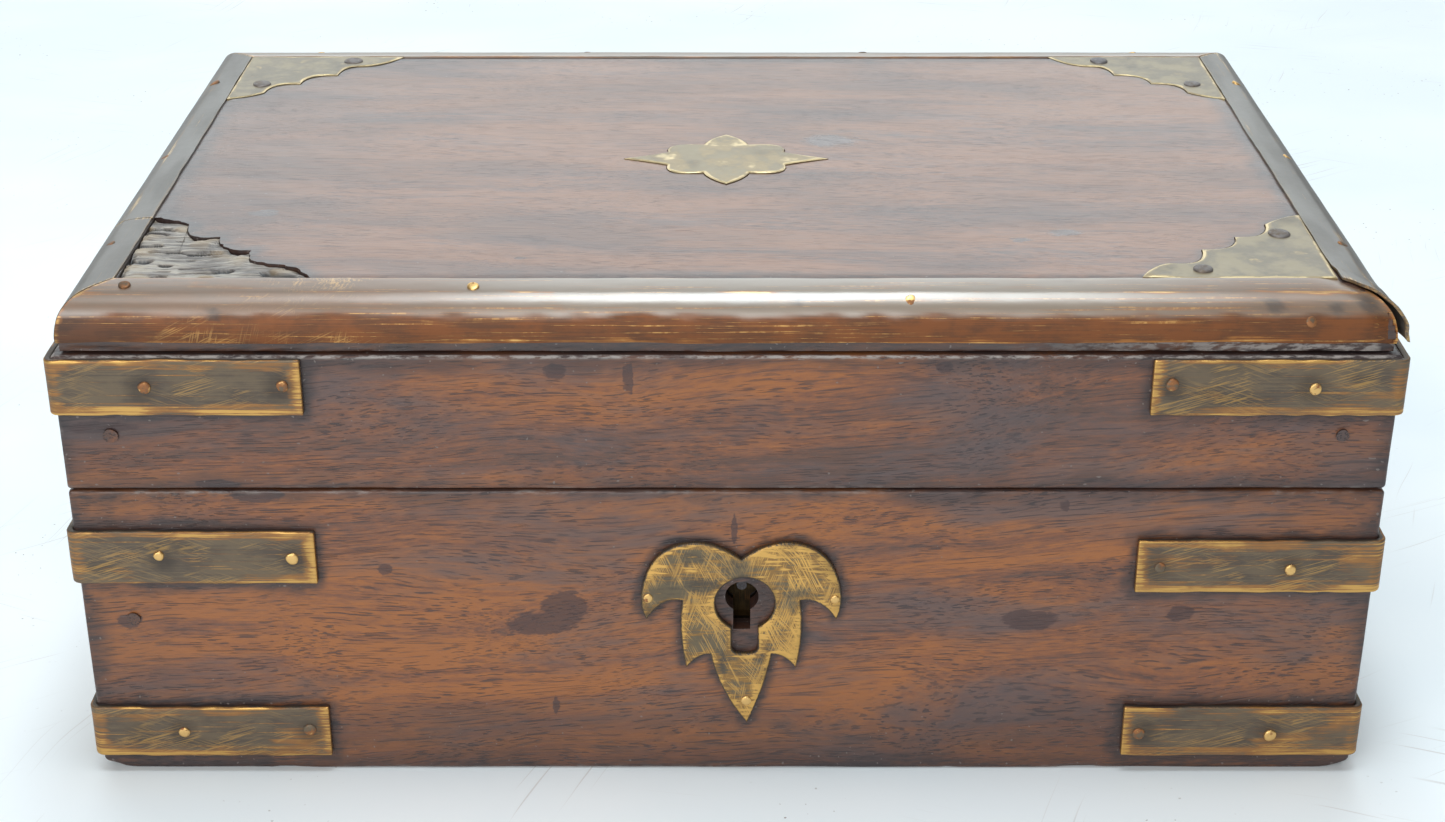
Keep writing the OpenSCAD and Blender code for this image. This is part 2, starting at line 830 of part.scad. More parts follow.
// One leaf with its knuckles: the even ones for the case, the odd ones for the lid
module leaf(s, first, bore) {
  x0 = s * hinge_x - hinge_l / 2;
  difference() {
    union() {
      block([x0, leaf_front, case_top - leaf_t], [x0 + hinge_l, leaf_back, case_top]);
      for (i = [first : 2 : knuckles - 1]) {
        a = x0 + i * knuckle_l + knuckle_gap;
        b = x0 + (i + 1) * knuckle_l - knuckle_gap;
        rod_hinge(knuckle_r, a, b);
        block([a, leaf_back, case_top - leaf_t], [b, axis_y, case_top]);
      }
    }
    rod_hinge(bore, x0 - past, x0 + hinge_l + past);
    hinge_screw_places(s) screw_blank(screw_r, screw_head_r, screw_l);
  }
}

module hinge_left_case_leaf() { color(brass) leaf(-1, 0, pin_r); }
module hinge_right_case_leaf() { color(brass) leaf(1, 0, pin_r); }
module hinge_left_lid_leaf() { color(brass) to_lid() leaf(-1, 1, pin_r + pin_clear); }
module hinge_right_lid_leaf() { color(brass) to_lid() leaf(1, 1, pin_r + pin_clear); }

module hinge_pin(s) {
  color(iron) rod_hinge(pin_r, s * hinge_x - hinge_l / 2, s * hinge_x + hinge_l / 2);
}

module hinge_left_pin() { hinge_pin(-1); }
module hinge_right_pin() { hinge_pin(1); }

module leaf_screws() {
  for (s = [-1, 1]) hinge_screw_places(s) screw(screw_r, screw_head_r, screw_l);
}

module hinge_case_screws() { color(iron) leaf_screws(); }
module hinge_lid_screws() { color(iron) to_lid() leaf_screws(); }

// --- brass edge and plates of the lid --------------------------------------------------------------

// Section of the brass edge: a skirt, a quarter round and a flat lip, x inwards from the rail's face
module edge_section() {
  translate([edge_setback, arc_z - skirt]) square([sheet_t, skirt]);
  translate([arc_in, bed_z]) square([edge_setback + edge_w - arc_in, sheet_t]);
  intersection() {
    translate([0, arc_z]) square([arc_in, edge_r + sheet_t]);
    translate([arc_in, arc_z]) difference() {
      circle(r = edge_r + sheet_t);
      circle(r = edge_r);
    }
  }
}

// A mitred run of brass edge along the front of a plan span wide and 2 * reach deep
module edge_run(span, reach) {
  intersection() {
    translate([-span / 2, -reach, 0]) rotate([90, 0, 90]) linear_extrude(span) edge_section();
    translate([0, 0, rail_top]) linear_extrude(edge_r + 2 * edge_straight)
      polygon([[-span / 2 + mitre_gap, -reach], [span / 2 - mitre_gap, -reach],
               [span / 2 - mitre_depth - mitre_gap, -reach + mitre_depth],
               [-span / 2 + mitre_depth + mitre_gap, -reach + mitre_depth]]);
  }
}

// Nails of the brass edge, placed by how far along the edge and how far up its round
module edge_nail_row(places, reach) {
  for (p = places) {
    translate([p[0], -reach + arc_in, arc_z]) rotate([90 - p[1], 0, 0])
      translate([0, 0, edge_r + sheet_t]) children();
  }
}

module edge_nail_places() {
  edge_nail_row(edge_nails_front, half_d) children();
  rotate([0, 0, 180]) edge_nail_row(edge_nails_back, half_d) children();
  rotate([0, 0, 90]) edge_nail_row(edge_nails_side, half_w) children();
  rotate([0, 0, -90]) edge_nail_row(edge_nails_side, half_w) children();
}

module edge_nail_shanks() {
  edge_nail_places() translate([0, 0, -nail_l / 2]) cylinder(h = nail_l / 2 + past, r = nail_r);
}

module edge_nails() {
  color(brass) edge_nail_places() nail(nail_r, nail_l / 2, head_r, head_h);
}

module edge_front() {
  color(brass) difference() {
    edge_run(box_w, half_d);
    edge_nail_shanks();
  }
}

module edge_back() {
  color(brass) difference() {
    rotate([0, 0, 180]) edge_run(box_w, half_d);
    edge_nail_shanks();
  }
}

module edge_right() {
  color(brass) difference() {
    rotate([0, 0, 90]) edge_run(box_d, half_w);
    edge_nail_shanks();
  }
}

// The left edge is in two lengths, a long one and a patch at the front corner
module edge_left_side(y0, y1) {
  color(brass) difference() {
    intersection() {
      rotate([0, 0, -90]) edge_run(box_d, half_w);
      block([-half_w, y0, rail_top], [0, y1, field_z + past]);
    }
    edge_nail_shanks();
  }
}

module edge_left() { edge_left_side(-half_d + patch_y + mitre_gap, half_d); }
module edge_left_patch() { edge_left_side(-half_d, -half_d + patch_y - mitre_gap); }

// Outline of a corner plate, its square corner at the origin and its long side lobed
module corner_outline() {
  polygon(concat([[0, 0]], scaled(curves(plate_curves), plate_w, plate_d), [[0, plate_d]]));
}

module at_corner(sx, sy) {
  translate([sx * (half_w - field_in), sy * (half_d - field_in), 0])
    mirror([sx > 0 ? 1 : 0, 0, 0]) mirror([0, sy > 0 ? 1 : 0, 0]) children();
}

module corner_bed(sx, sy, sink) {
  at_corner(sx, sy) translate([0, 0, field_z - sink]) linear_extrude(past) corner_outline();
}

module plate_pin_places() {
  for (c = [[1, -1], [-1, 1], [1, 1]], p = plate_pins) {
    at_corner(c[0], c[1]) translate([p.x, p.y, plate_z + sheet_t]) children();
  }
}

module plate_pin_shanks() {
  plate_pin_places() translate([0, 0, -nail_l]) cylinder(h = nail_l, r = nail_r);
}

module corner_plate(sx, sy) {
  color(pale_brass) difference() {
    at_corner(sx, sy) translate([0, 0, plate_z]) linear_extrude(sheet_t) corner_outline();
    plate_pin_shanks();
  }
}

module corner_plate_front_right() { corner_plate(1, -1); }
module corner_plate_back_left() { corner_plate(-1, 1); }
module corner_plate_back_right() { corner_plate(1, 1); }

module corner_plate_pins() {
  color(iron) plate_pin_places() nail(nail_r, nail_l, stud_head_r, stud_head_h);
}

// Outline of the middle plate: four pointed leaves with a round lobe between each two
module rosette_outline() {
  quarter = scaled(curves(rosette_curves), rosette_w, rosette_d);
  half = concat(quarter, [[0, rosette_d]], returning(scaled(quarter, -1, 1)));
  translate([0, rosette_y]) polygon(concat(half, scaled(half, -1, -1)));
}

module centre_plate() {
  color(pale_brass) translate([0, 0, plate_z]) linear_extrude(sheet_t) rosette_outline();
}

// --- the assembly ----------------------------------------------------------------------------------

case_front();
case_back();
case_left();
case_right();
case_bottom();
partition_left();
partition_right();
bottom_nails();
case_corner_pegs();
strap_low_front_left();
strap_low_front_right();
strap_low_back_left();
strap_low_back_right();
strap_mid_front_left();
strap_mid_front_right();
strap_mid_back_left();
strap_mid_back_right();
case_strap_nails();
escutcheon();
escutcheon_pins();
lock_case();
lock_cap();
lock_ward();
key_post();
lock_screws();
lock_bolt();
bolt_spring();
hinge_left_case_leaf();
hinge_right_case_leaf();
hinge_left_pin();
hinge_right_pin();
hinge_case_screws();
lid_front();
lid_back();
lid_left();
lid_right();
lid_top();
lid_top_nails();
lid_corner_pegs();
strap_lid_front_left();
strap_lid_front_right();
strap_lid_back_left();
strap_lid_back_right();
lid_strap_nails();
edge_front();
edge_back();
edge_left();
edge_left_patch();
edge_right();
edge_nails();
corner_plate_front_right();
corner_plate_back_left();
corner_plate_back_right();
corner_plate_pins();
centre_plate();
link_plate();
link_screws();
hinge_left_lid_leaf();
hinge_right_lid_leaf();
hinge_lid_screws();
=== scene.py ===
"""Looks of the brass-bound tea caddy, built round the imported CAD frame. Lengths are in millimetres until
a mesh is made. The boards, straps, brass edge, plates, escutcheon, pegs and the nails that show get
detailed meshes in the places of their CAD nodes; the lock, the hinges, the bolt, the inner boards and the
hidden nails keep their CAD meshes and get better surfaces."""

import math
from itertools import product

import bmesh
import bpy
import numpy as np
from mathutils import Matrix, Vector


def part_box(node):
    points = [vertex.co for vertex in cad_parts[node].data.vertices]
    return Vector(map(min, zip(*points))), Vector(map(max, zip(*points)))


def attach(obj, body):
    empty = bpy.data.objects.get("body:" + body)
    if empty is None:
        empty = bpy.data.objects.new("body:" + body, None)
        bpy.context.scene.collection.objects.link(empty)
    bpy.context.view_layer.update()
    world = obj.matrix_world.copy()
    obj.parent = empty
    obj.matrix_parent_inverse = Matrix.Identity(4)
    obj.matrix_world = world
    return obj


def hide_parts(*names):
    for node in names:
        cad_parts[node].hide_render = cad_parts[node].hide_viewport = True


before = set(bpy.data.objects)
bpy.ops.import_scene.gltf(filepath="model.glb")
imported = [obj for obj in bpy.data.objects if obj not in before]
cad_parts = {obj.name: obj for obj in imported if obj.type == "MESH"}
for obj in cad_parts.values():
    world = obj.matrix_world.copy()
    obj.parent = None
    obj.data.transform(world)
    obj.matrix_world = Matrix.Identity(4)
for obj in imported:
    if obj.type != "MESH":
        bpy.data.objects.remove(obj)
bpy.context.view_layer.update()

MM = 0.001
QUARTER = math.pi / 2


def box_mm(node):
    """Lowest and highest corners of a CAD node, in millimetres."""
    lo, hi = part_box(node)
    return np.array(lo) / MM, np.array(hi) / MM


# --- measures taken from the frame ---------------------------------------------------------------

FRONT_LO, FRONT_HI = box_mm("case_front")
RAIL_LO, RAIL_HI = box_mm("lid_front")
TOP_LO, TOP_HI = box_mm("lid_top")
EDGE_LO, EDGE_HI = box_mm("edge_front")
STRAP_LO, STRAP_HI = box_mm("strap_low_front_right")
PLATE_LO, PLATE_HI = box_mm("corner_plate_front_right")
ROSETTE_LO, ROSETTE_HI = box_mm("centre_plate")
LEAF_LO, LEAF_HI = box_mm("escutcheon")
PIN_LO, PIN_HI = box_mm("hinge_left_pin")

HALF_W = FRONT_HI[0]
HALF_D = box_mm("case_back")[1][1]
CASE_TOP = FRONT_HI[2]
RAIL_BASE = RAIL_LO[2]
RAIL_TOP = RAIL_HI[2]
AXIS_Y = (PIN_LO[1] + PIN_HI[1]) / 2
AXIS_Z = (PIN_LO[2] + PIN_HI[2]) / 2
STRAP_T = STRAP_HI[0] - HALF_W
STRAP_ARM = HALF_W - STRAP_LO[0]
SHEET_T = PLATE_HI[2] - PLATE_LO[2]
PLATE_SIZE = (PLATE_HI - PLATE_LO)[:2]
FIELD_Z = TOP_HI[2]
FIELD_X = PLATE_HI[0]
FIELD_Y = -PLATE_LO[1]
EDGE_SETBACK = HALF_D + EDGE_LO[1]
EDGE_SKIRT_Z = EDGE_LO[2]
EDGE_IN = EDGE_HI[1] + HALF_D
ROSETTE_CENTRE = (ROSETTE_HI[:2] + ROSETTE_LO[:2]) / 2
LEAF_AXIS = (LEAF_LO[0] + LEAF_HI[0]) / 2

# --- seeded noise --------------------------------------------------------------------------------


def cell_values(cells, seed):
    """A repeatable number from -1 to 1 for each integer cell."""
    mixed = cells[:, 0] * 374761393 + cells[:, 1] * 668265263 + cells[:, 2] * 2147483629 + seed * 974634777
    mixed = mixed & 0xFFFFFFFF
    mixed = ((mixed ^ (mixed >> 13)) * 1274126177) & 0xFFFFFFFF
    mixed = mixed ^ (mixed >> 16)
    return mixed / 2147483647.5 - 1


def noise(points, size, seed=0):
    """Smooth noise from -1 to 1 at each point; size is one cell, in mm, alike or one for each axis."""
    scaled = np.asarray(points, float) / np.asarray(size, float)
    cells = np.floor(scaled).astype(np.int64)
    share = scaled - cells
    share = share * share * (3 - 2 * share)
    total = np.zeros(len(scaled))
    for corner in product((0, 1), repeat=3):
        weight = np.where(corner, share, 1 - share).prod(axis=1)
        total += weight * cell_values(cells + np.array(corner), seed)
    return total


def rough_noise(points, size, seed=0, octaves=4):
    """Noise with finer and fainter noise on it."""
    total = np.zeros(len(points))
    for octave in range(octaves):
        total += noise(points, np.asarray(size, float) / 2**octave, seed + 17 * octave) / 2**octave
    return total / 1.5


def ramp(value, start, end):
    """0 before start, 1 after end, and smooth between; end may be the smaller one."""
    share = np.clip((value - start) / (end - start), 0, 1)
    return share * share * (3 - 2 * share)


# --- mesh building -------------------------------------------------------------------------------

EDGE_STEPS = np.array([0, 0.12, 0.3, 0.55, 0.9, 1.4, 2.0, 2.8])


def ruled(lo, hi, step, edge=1.0):
    """Lines from lo to hi, step apart and closer together at both ends."""
    near = EDGE_STEPS * edge
    count = max(1, round((hi - lo - 2 * near[-1]) / step))
    middle = np.linspace(lo + near[-1], hi - near[-1], count + 1)
    return np.concatenate([lo + near[:-1], middle, hi - near[:-1][::-1]])


def lattice(xs, ys, zs):
    """Points and outward quads of the closed surface of a block ruled along xs, ys and zs."""
    grid = np.stack(np.meshgrid(xs, ys, zs, indexing="ij"), axis=-1)
    skin = np.zeros(grid.shape[:3], bool)
    for axis in range(3):
        np.moveaxis(skin, axis, 0)[[0, -1]] = True
    number = np.full(skin.shape, -1)
    number[skin] = np.arange(skin.sum())
    quads = []
    for axis, side in product(range(3), (0, -1)):
        face = np.take(number, side, axis=axis)
        corners = (face[:-1, :-1], face[1:, :-1], face[1:, 1:], face[:-1, 1:])
        quad = np.stack(corners, axis=-1).reshape(-1, 4)
        outward = (side == -1) != (axis == 1)
        quads.append(quad if outward else quad[:, ::-1])
    return grid[skin], np.concatenate(quads)


def rounded(points, lo, hi, radius):
    """Points drawn in to the block lo..hi with rounded edges; radius may differ from point to point."""
    reach = np.broadcast_to(radius, len(points))[:, None]
    core = np.clip(points, lo + reach, hi - reach)
    out = points - core
    length = np.linalg.norm(out, axis=1, keepdims=True)
    return np.where(length > reach, core + out / np.maximum(length, 1e-9) * reach, points)


def band(base, above, count):
    """Quads between two closed rings of count points that start at base and at above."""
    here = np.arange(count)
    there = (here + 1) % count
    return np.stack([base + here, base + there, above + there, above + here], axis=-1)


def disc(outline, shares, centre, z_top, z_low):
    """Points and faces of a solid plate: rings of the outline, closed, drawn in to centre by shares."""
    count = len(outline)
    rings = [centre + share * (outline - centre) for share in shares]
    flat = np.concatenate([centre[None, :], *rings])
    total = len(flat)
    rim = total - count
    quads = np.concatenate([band(start, start + count, count) for start in range(1, rim, count)])
    here = np.arange(count)
    fan = np.column_stack([0 * here, 1 + here, 1 + (here + 1) % count])
    faces = [*quads.tolist(), *fan.tolist(), *band(rim, rim + total, count).tolist()]
    faces += [*(quads[:, ::-1] + total).tolist(), *(fan[:, ::-1] + total).tolist()]
    return np.concatenate([np.insert(flat, 2, z, axis=1) for z in (z_top, z_low)]), faces


def add_object(name, data):
    """A new object in the scene."""
    thing = bpy.data.objects.new(name, data)
    bpy.context.scene.collection.objects.link(thing)
    return thing


def closed_mesh(name, points, faces):
    """A mesh from points in millimetres, with its faces turned outwards."""
    mesh = bpy.data.meshes.new(name)
    mesh.from_pydata((np.asarray(points) * MM).tolist(), [], [list(face) for face in faces])
    mesh.validate()
    shell = bmesh.new()
    shell.from_mesh(mesh)
    bmesh.ops.recalc_face_normals(shell, faces=shell.faces)
    shell.to_mesh(mesh)
    shell.free()
    return mesh


def make_piece(name, points, faces, material, body, nodes=(), sharp=40):
    """A mesh piece in the frame's place, smooth but for edges sharper than that angle."""
    mesh = closed_mesh(name, points, faces)
    mesh.materials.append(MATERIALS[material])
    piece = add_object(name, mesh)
    soften(piece, sharp)
    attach(piece, body)
    if nodes:
        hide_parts(*nodes)
    return piece


def soften(piece, sharp):
    """Smooth shading that breaks at edges sharper than the angle."""
    piece.data.shade_smooth()
    piece.data.set_sharp_from_angle(angle=math.radians(sharp))


def points_of(piece):
    """A piece's vertices in millimetres."""
    flat = np.empty(len(piece.data.vertices) * 3)
    piece.data.vertices.foreach_get("co", flat)
    return flat.reshape(-1, 3) / MM


def paint(piece, **layers):
    """Stores a number for each vertex, one layer for each name, for the materials to read."""
    for name, values in layers.items():
        layer = piece.data.attributes.new(name, "FLOAT", "POINT")
        layer.data.foreach_set("value", np.clip(values, 0, 1).astype(np.float32))


def cutter(points, faces):
    """A closed mesh object, outside the scene, that carve() uses up."""
    return bpy.data.objects.new("cutter", closed_mesh("cutter", points, faces))


def block_cutter(lo, hi):
    """A cutter in the shape of the block lo..hi."""
    return cutter(*lattice(*zip(lo, hi)))


def extruded(flat, axis, start, end):
    """A cutter in the shape of a flat outline drawn along an axis from start to end."""
    count = len(flat)
    rings = [np.insert(flat, axis, level, axis=1) for level in (start, end)]
    low = list(range(count))
    faces = [*band(0, count, count).tolist(), low[::-1], [index + count for index in low]]
    return cutter(np.concatenate(rings), faces)


def carve(piece, cutters):
    """Cuts the cutters out of the piece's mesh and removes them."""
    group = bpy.data.collections.new("cutters")
    bpy.context.scene.collection.children.link(group)
    for tool in cutters:
        group.objects.link(tool)
    cut = piece.modifiers.new("cut", "BOOLEAN")
    cut.operation = "DIFFERENCE"
    cut.operand_type = "COLLECTION"
    cut.collection = group
    cut.solver = "EXACT"
    depsgraph = bpy.context.evaluated_depsgraph_get()
    whole = piece.data
    piece.data = bpy.data.meshes.new_from_object(piece.evaluated_get(depsgraph))
    piece.modifiers.clear()
    piece.data.name = piece.name
    bpy.data.meshes.remove(whole)
    for tool in cutters:
        bpy.data.meshes.remove(tool.data)
    bpy.data.collections.remove(group)
    soften(piece, 40)


# --- outlines ------------------------------------------------------------------------------------

# A chain runs along quadratic curves: every second point is where two of them meet, and each point between
# is the control of one.

# Lobed side of a corner plate, in shares of its two straight sides
PLATE_CHAIN = [
    (1, 0), (0.89, 0.23), (0.74, 0.23), (0.63, 0.24), (0.62, 0.445), (0.42, 0.43), (0.41, 0.65),
    (0.22, 0.63), (0.21, 0.86), (0.11, 0.97), (0, 1),
]
# A quarter of the rosette, in shares of half its width and half its depth
ROSETTE_CHAIN = [(1, 0), (0.77, 0.11), (0.57, 0.25), (0.62, 0.67), (0.22, 0.56), (0.18, 0.8), (0, 1)]
# Half of the escutcheon's leaf, x from its axis and z, down to the belly of its bent tip
LEAF_CHAIN = [
    (0, 49.3), (4.2, 52.9), (9.2, 53), (18.4, 52.6), (19.7, 41.5), (19.9, 38), (18.7, 35.8), (15.8, 41),
    (11.6, 40.2), (12.6, 32), (10.9, 24.8), (8.6, 28), (6.1, 27.9), (4.6, 19.5),
]
LEAF_TIP_X = 1.2
EYE_CENTRE = np.array([3.6, 39.4])
EYE_R = 5.9
EYE_SLOT_HALF = 2.6
EYE_SLOT_LOW = 28
EYE_SLOT_R = 1.6
KEY_X = 3
KEY_Z = 40.4
KEY_R = 3.3
KEY_SLOT_HALF = 1.7
KEY_SLOT_LOW = 33


def bends(chain, steps):
    """Points along a chain's curves, without its end; steps may differ from curve to curve."""
    chain = np.array(chain, float)
    counts = np.broadcast_to(steps, len(chain) // 2)
    parts = []
    for start, control, end, count in zip(chain[:-2:2], chain[1::2], chain[2::2], counts):
        share = (np.arange(count) / count)[:, None]
        parts.append((1 - share) ** 2 * start + 2 * share * (1 - share) * control + share**2 * end)
    return np.concatenate(parts)


def straight(start, end, steps):
    """Points from start towards end, without the end."""
    share = (np.arange(steps) / steps)[:, None]
    return (1 - share) * np.array(start, float) + share * np.array(end, float)


def unit(angles):
    """Points of a circle of radius 1."""
    return np.column_stack([np.cos(angles), np.sin(angles)])


def distance_to(outline, flat):
    """Distance of each flat point from a closed outline."""
    nearest = np.full(len(flat), 1e9)
    for start, end in zip(outline, np.roll(outline, -1, axis=0)):
        along = end - start
        length = max(along @ along, 1e-12)
        share = np.clip((flat - start) @ along / length, 0, 1)
        gap = np.linalg.norm(flat - start - share[:, None] * along, axis=1)
        nearest = np.minimum(nearest, gap)
    return nearest


def corner_outline(sx, sy, steps=10):
    """A corner plate's outline at the field's corner on side sx, sy, counter-clockwise or clockwise."""
    near = straight((0, 0), (1, 0), 4 * steps)
    far = straight((0, 1), (0, 0), 4 * steps)
    shape = np.concatenate([near, bends(PLATE_CHAIN, steps), far]) * PLATE_SIZE
    return np.array([sx * FIELD_X, sy * FIELD_Y]) - shape * np.array([sx, sy])


def rosette_outline(steps=12):
    """The middle plate's outline, counter-clockwise."""
    quarter = bends(ROSETTE_CHAIN, steps)
    upper = np.concatenate([quarter, [(0, 1)], quarter[:0:-1] * (-1, 1)])
    return ROSETTE_CENTRE + (ROSETTE_HI - ROSETTE_LO)[:2] / 2 * np.concatenate([upper, -upper])


def leaf_outline(steps=8):
    """The escutcheon's outer outline, as x and z; its tip is bent to the right."""
    tip_z = LEAF_LO[2]
    right, left = (bends([*LEAF_CHAIN, (side * LEAF_TIP_X, tip_z)], steps) for side in (1, -1))
    return np.concatenate([right, [(LEAF_TIP_X, tip_z)], left[:0:-1] * (-1, 1)]) + (LEAF_AXIS, 0)


def keyhole_outline(centre, radius, slot_half, slot_low, slot_r, eye_steps, foot_steps):
    """A round eye over a slot whose lower corners are rounded, as x and z."""
    foot = math.asin(slot_half / radius)
    eye = centre + radius * unit(np.linspace(foot - QUARTER, 3 * QUARTER - foot, eye_steps))
    turns = np.linspace(0, QUARTER, foot_steps)
    floor = np.array([centre[0], slot_low + slot_r])
    inset = np.array([slot_half - slot_r, 0])
    left = floor - inset - slot_r * unit(turns)
    right = floor + inset + slot_r * unit(turns - QUARTER)
    return np.concatenate([eye, left, right])


def eye_outline():
    """The opening in the escutcheon."""
    return keyhole_outline(EYE_CENTRE, EYE_R, EYE_SLOT_HALF, EYE_SLOT_LOW, EYE_SLOT_R, 28, 5)


# --- materials -----------------------------------------------------------------------------------


def srgb(red, green, blue):
    """A linear colour from display values of 0 to 255."""
    values = np.array([red, green, blue]) / 255
    linear = np.where(values <= 0.04045, values / 12.92, ((values + 0.055) / 1.055) ** 2.4)
    return (*linear.tolist(), 1.0)


class Value:
    """A node's output that takes +, - and * with numbers and with other outputs."""

    def __init__(self, surface, socket):
        self.surface = surface
        self.socket = socket

    def with_other(self, operation, other):
        return self.surface.add("ShaderNodeMath", {0: self, 1: other}, operation=operation)

    def __add__(self, other):
        return self.with_other("ADD", other)

    def __sub__(self, other):
        return self.with_other("SUBTRACT", other)

    def __mul__(self, other):
        return self.with_other("MULTIPLY", other)

    def at_least(self, other):
        return self.with_other("MAXIMUM", other)


class Surface:
    """A material under construction: each call adds a node and gives its output."""

    def __init__(self, name):
        self.material = bpy.data.materials.new(name)
        self.material.use_nodes = True
        self.tree = self.material.node_tree
        self.shader = self.tree.nodes["Principled BSDF"]

    def feed(self, socket, value):
        """Links another node's output to a socket, or sets the socket to a number or colour."""
        if isinstance(value, Value):
            self.tree.links.new(value.socket, socket)
        else:
            socket.default_value = value

    def add(self, kind, inputs, output=0, **settings):
        """A new node of a kind with its inputs fed and its settings set."""
        node = self.tree.nodes.new(kind)
        for name, value in settings.items():
            setattr(node, name, value)
        for name, value in inputs.items():
            self.feed(node.inputs[name], value)
        return Value(self, node.outputs[output])

    def place(self, turn=0.0, offset=(0, 0, 0)):
        """Object coordinates in millimetres, turned about Z and shifted."""
        raw = self.add("ShaderNodeTexCoord", {}, "Object")
        moved = {"Vector": raw, "Scale": (1 / MM,) * 3, "Rotation": (0, 0, turn), "Location": offset}
        return self.add("ShaderNodeMapping", moved)

    def turned(self, vector, rotation):
        """The vector turned about X, Y and Z."""
        return self.add("ShaderNodeMapping", {"Vector": vector, "Rotation": rotation})

    def vector_maths(self, operation, first, second, output=0):
        return self.add("ShaderNodeVectorMath", {0: first, 1: second}, output, operation=operation)

    def noise(self, vector, size, detail=3.0, roughness=0.55, output=0):
        """Noise from 0 to 1 whose cell is size millimetres along each axis."""
        scaled = self.vector_maths("MULTIPLY", vector, tuple(1 / length for length in size))
        inputs = {"Vector": scaled, "Scale": 1.0, "Detail": detail, "Roughness": roughness}
        return self.add("ShaderNodeTexNoise", inputs, output)

    def warped(self, vector, size, amount):
        """The vector pushed about by noise, by up to about half of amount along each axis."""
        cloud = self.noise(vector, size, 2.0, 0.5, "Color")
        centred = self.vector_maths("SUBTRACT", cloud, (0.5,) * 3)
        return self.vector_maths("ADD", vector, self.vector_maths("MULTIPLY", centred, amount))

    def ramp(self, value, start, end, low=0.0, high=1.0):
        """low before start, high after end and smooth between; end may be the smaller one."""
        if start > end:
            start, end, low, high = end, start, high, low
        inputs = {"Value": value, "From Min": start, "From Max": end, "To Min": low, "To Max": high}
        return self.add("ShaderNodeMapRange", inputs, interpolation_type="SMOOTHSTEP")

    def painted(self, layer):
        """A layer that paint() stored."""
        return self.add("ShaderNodeAttribute", {}, "Fac", attribute_name=layer)

    def mix(self, share, first, second):
        """The first colour with a share of the second."""
        inputs = {0: share, 6: first, 7: second}
        return self.add("ShaderNodeMix", inputs, 2, data_type="RGBA", clamp_factor=True)

    def shades(self, value, stops):
        """Colours along a value, given as (place, colour) pairs."""
        colours = self.add("ShaderNodeValToRGB", {0: value})
        elements = colours.socket.node.color_ramp.elements
        while len(elements) < len(stops):
            elements.new(0.5)
        for element, (place, colour) in zip(elements, stops):
            element.position = place
            element.color = colour
        return colours

    def bump(self, height, depth, below=None):
        """A normal from a height of 0 to 1 that stands for depth millimetres, on the bumps below it."""
        inputs = {"Height": height, "Strength": 1.0, "Distance": depth * MM}
        if below:
            inputs["Normal"] = below
        return self.add("ShaderNodeBump", inputs)

    def finish(self, **sockets):
        """Feeds the shader's sockets, named with _ for a space, and gives the material."""
        for name, value in sockets.items():
            self.feed(self.shader.inputs[name.replace("_", " ")], value)
        return self.material


WOOD_ORANGE = srgb(151, 90, 40)
WOOD_RED = srgb(120, 72, 45)
WOOD_BROWN = srgb(88, 60, 48)
WOOD_MURK = srgb(79, 70, 72)
# Soot, and also the colour of painted shade
WOOD_SOOT_AND_SHADE = srgb(38, 31, 34)
WOOD_SCUM = srgb(122, 112, 106)
WOOD_PORE = srgb(46, 40, 44)
WOOD_STAIN = srgb(62, 38, 36)
# Pale torn fibres, and also the colour of a painted highlight on the rails' top arris
WOOD_TORN_AND_HIGHLIGHT = srgb(158, 150, 144)
BLACK = srgb(0, 0, 0)


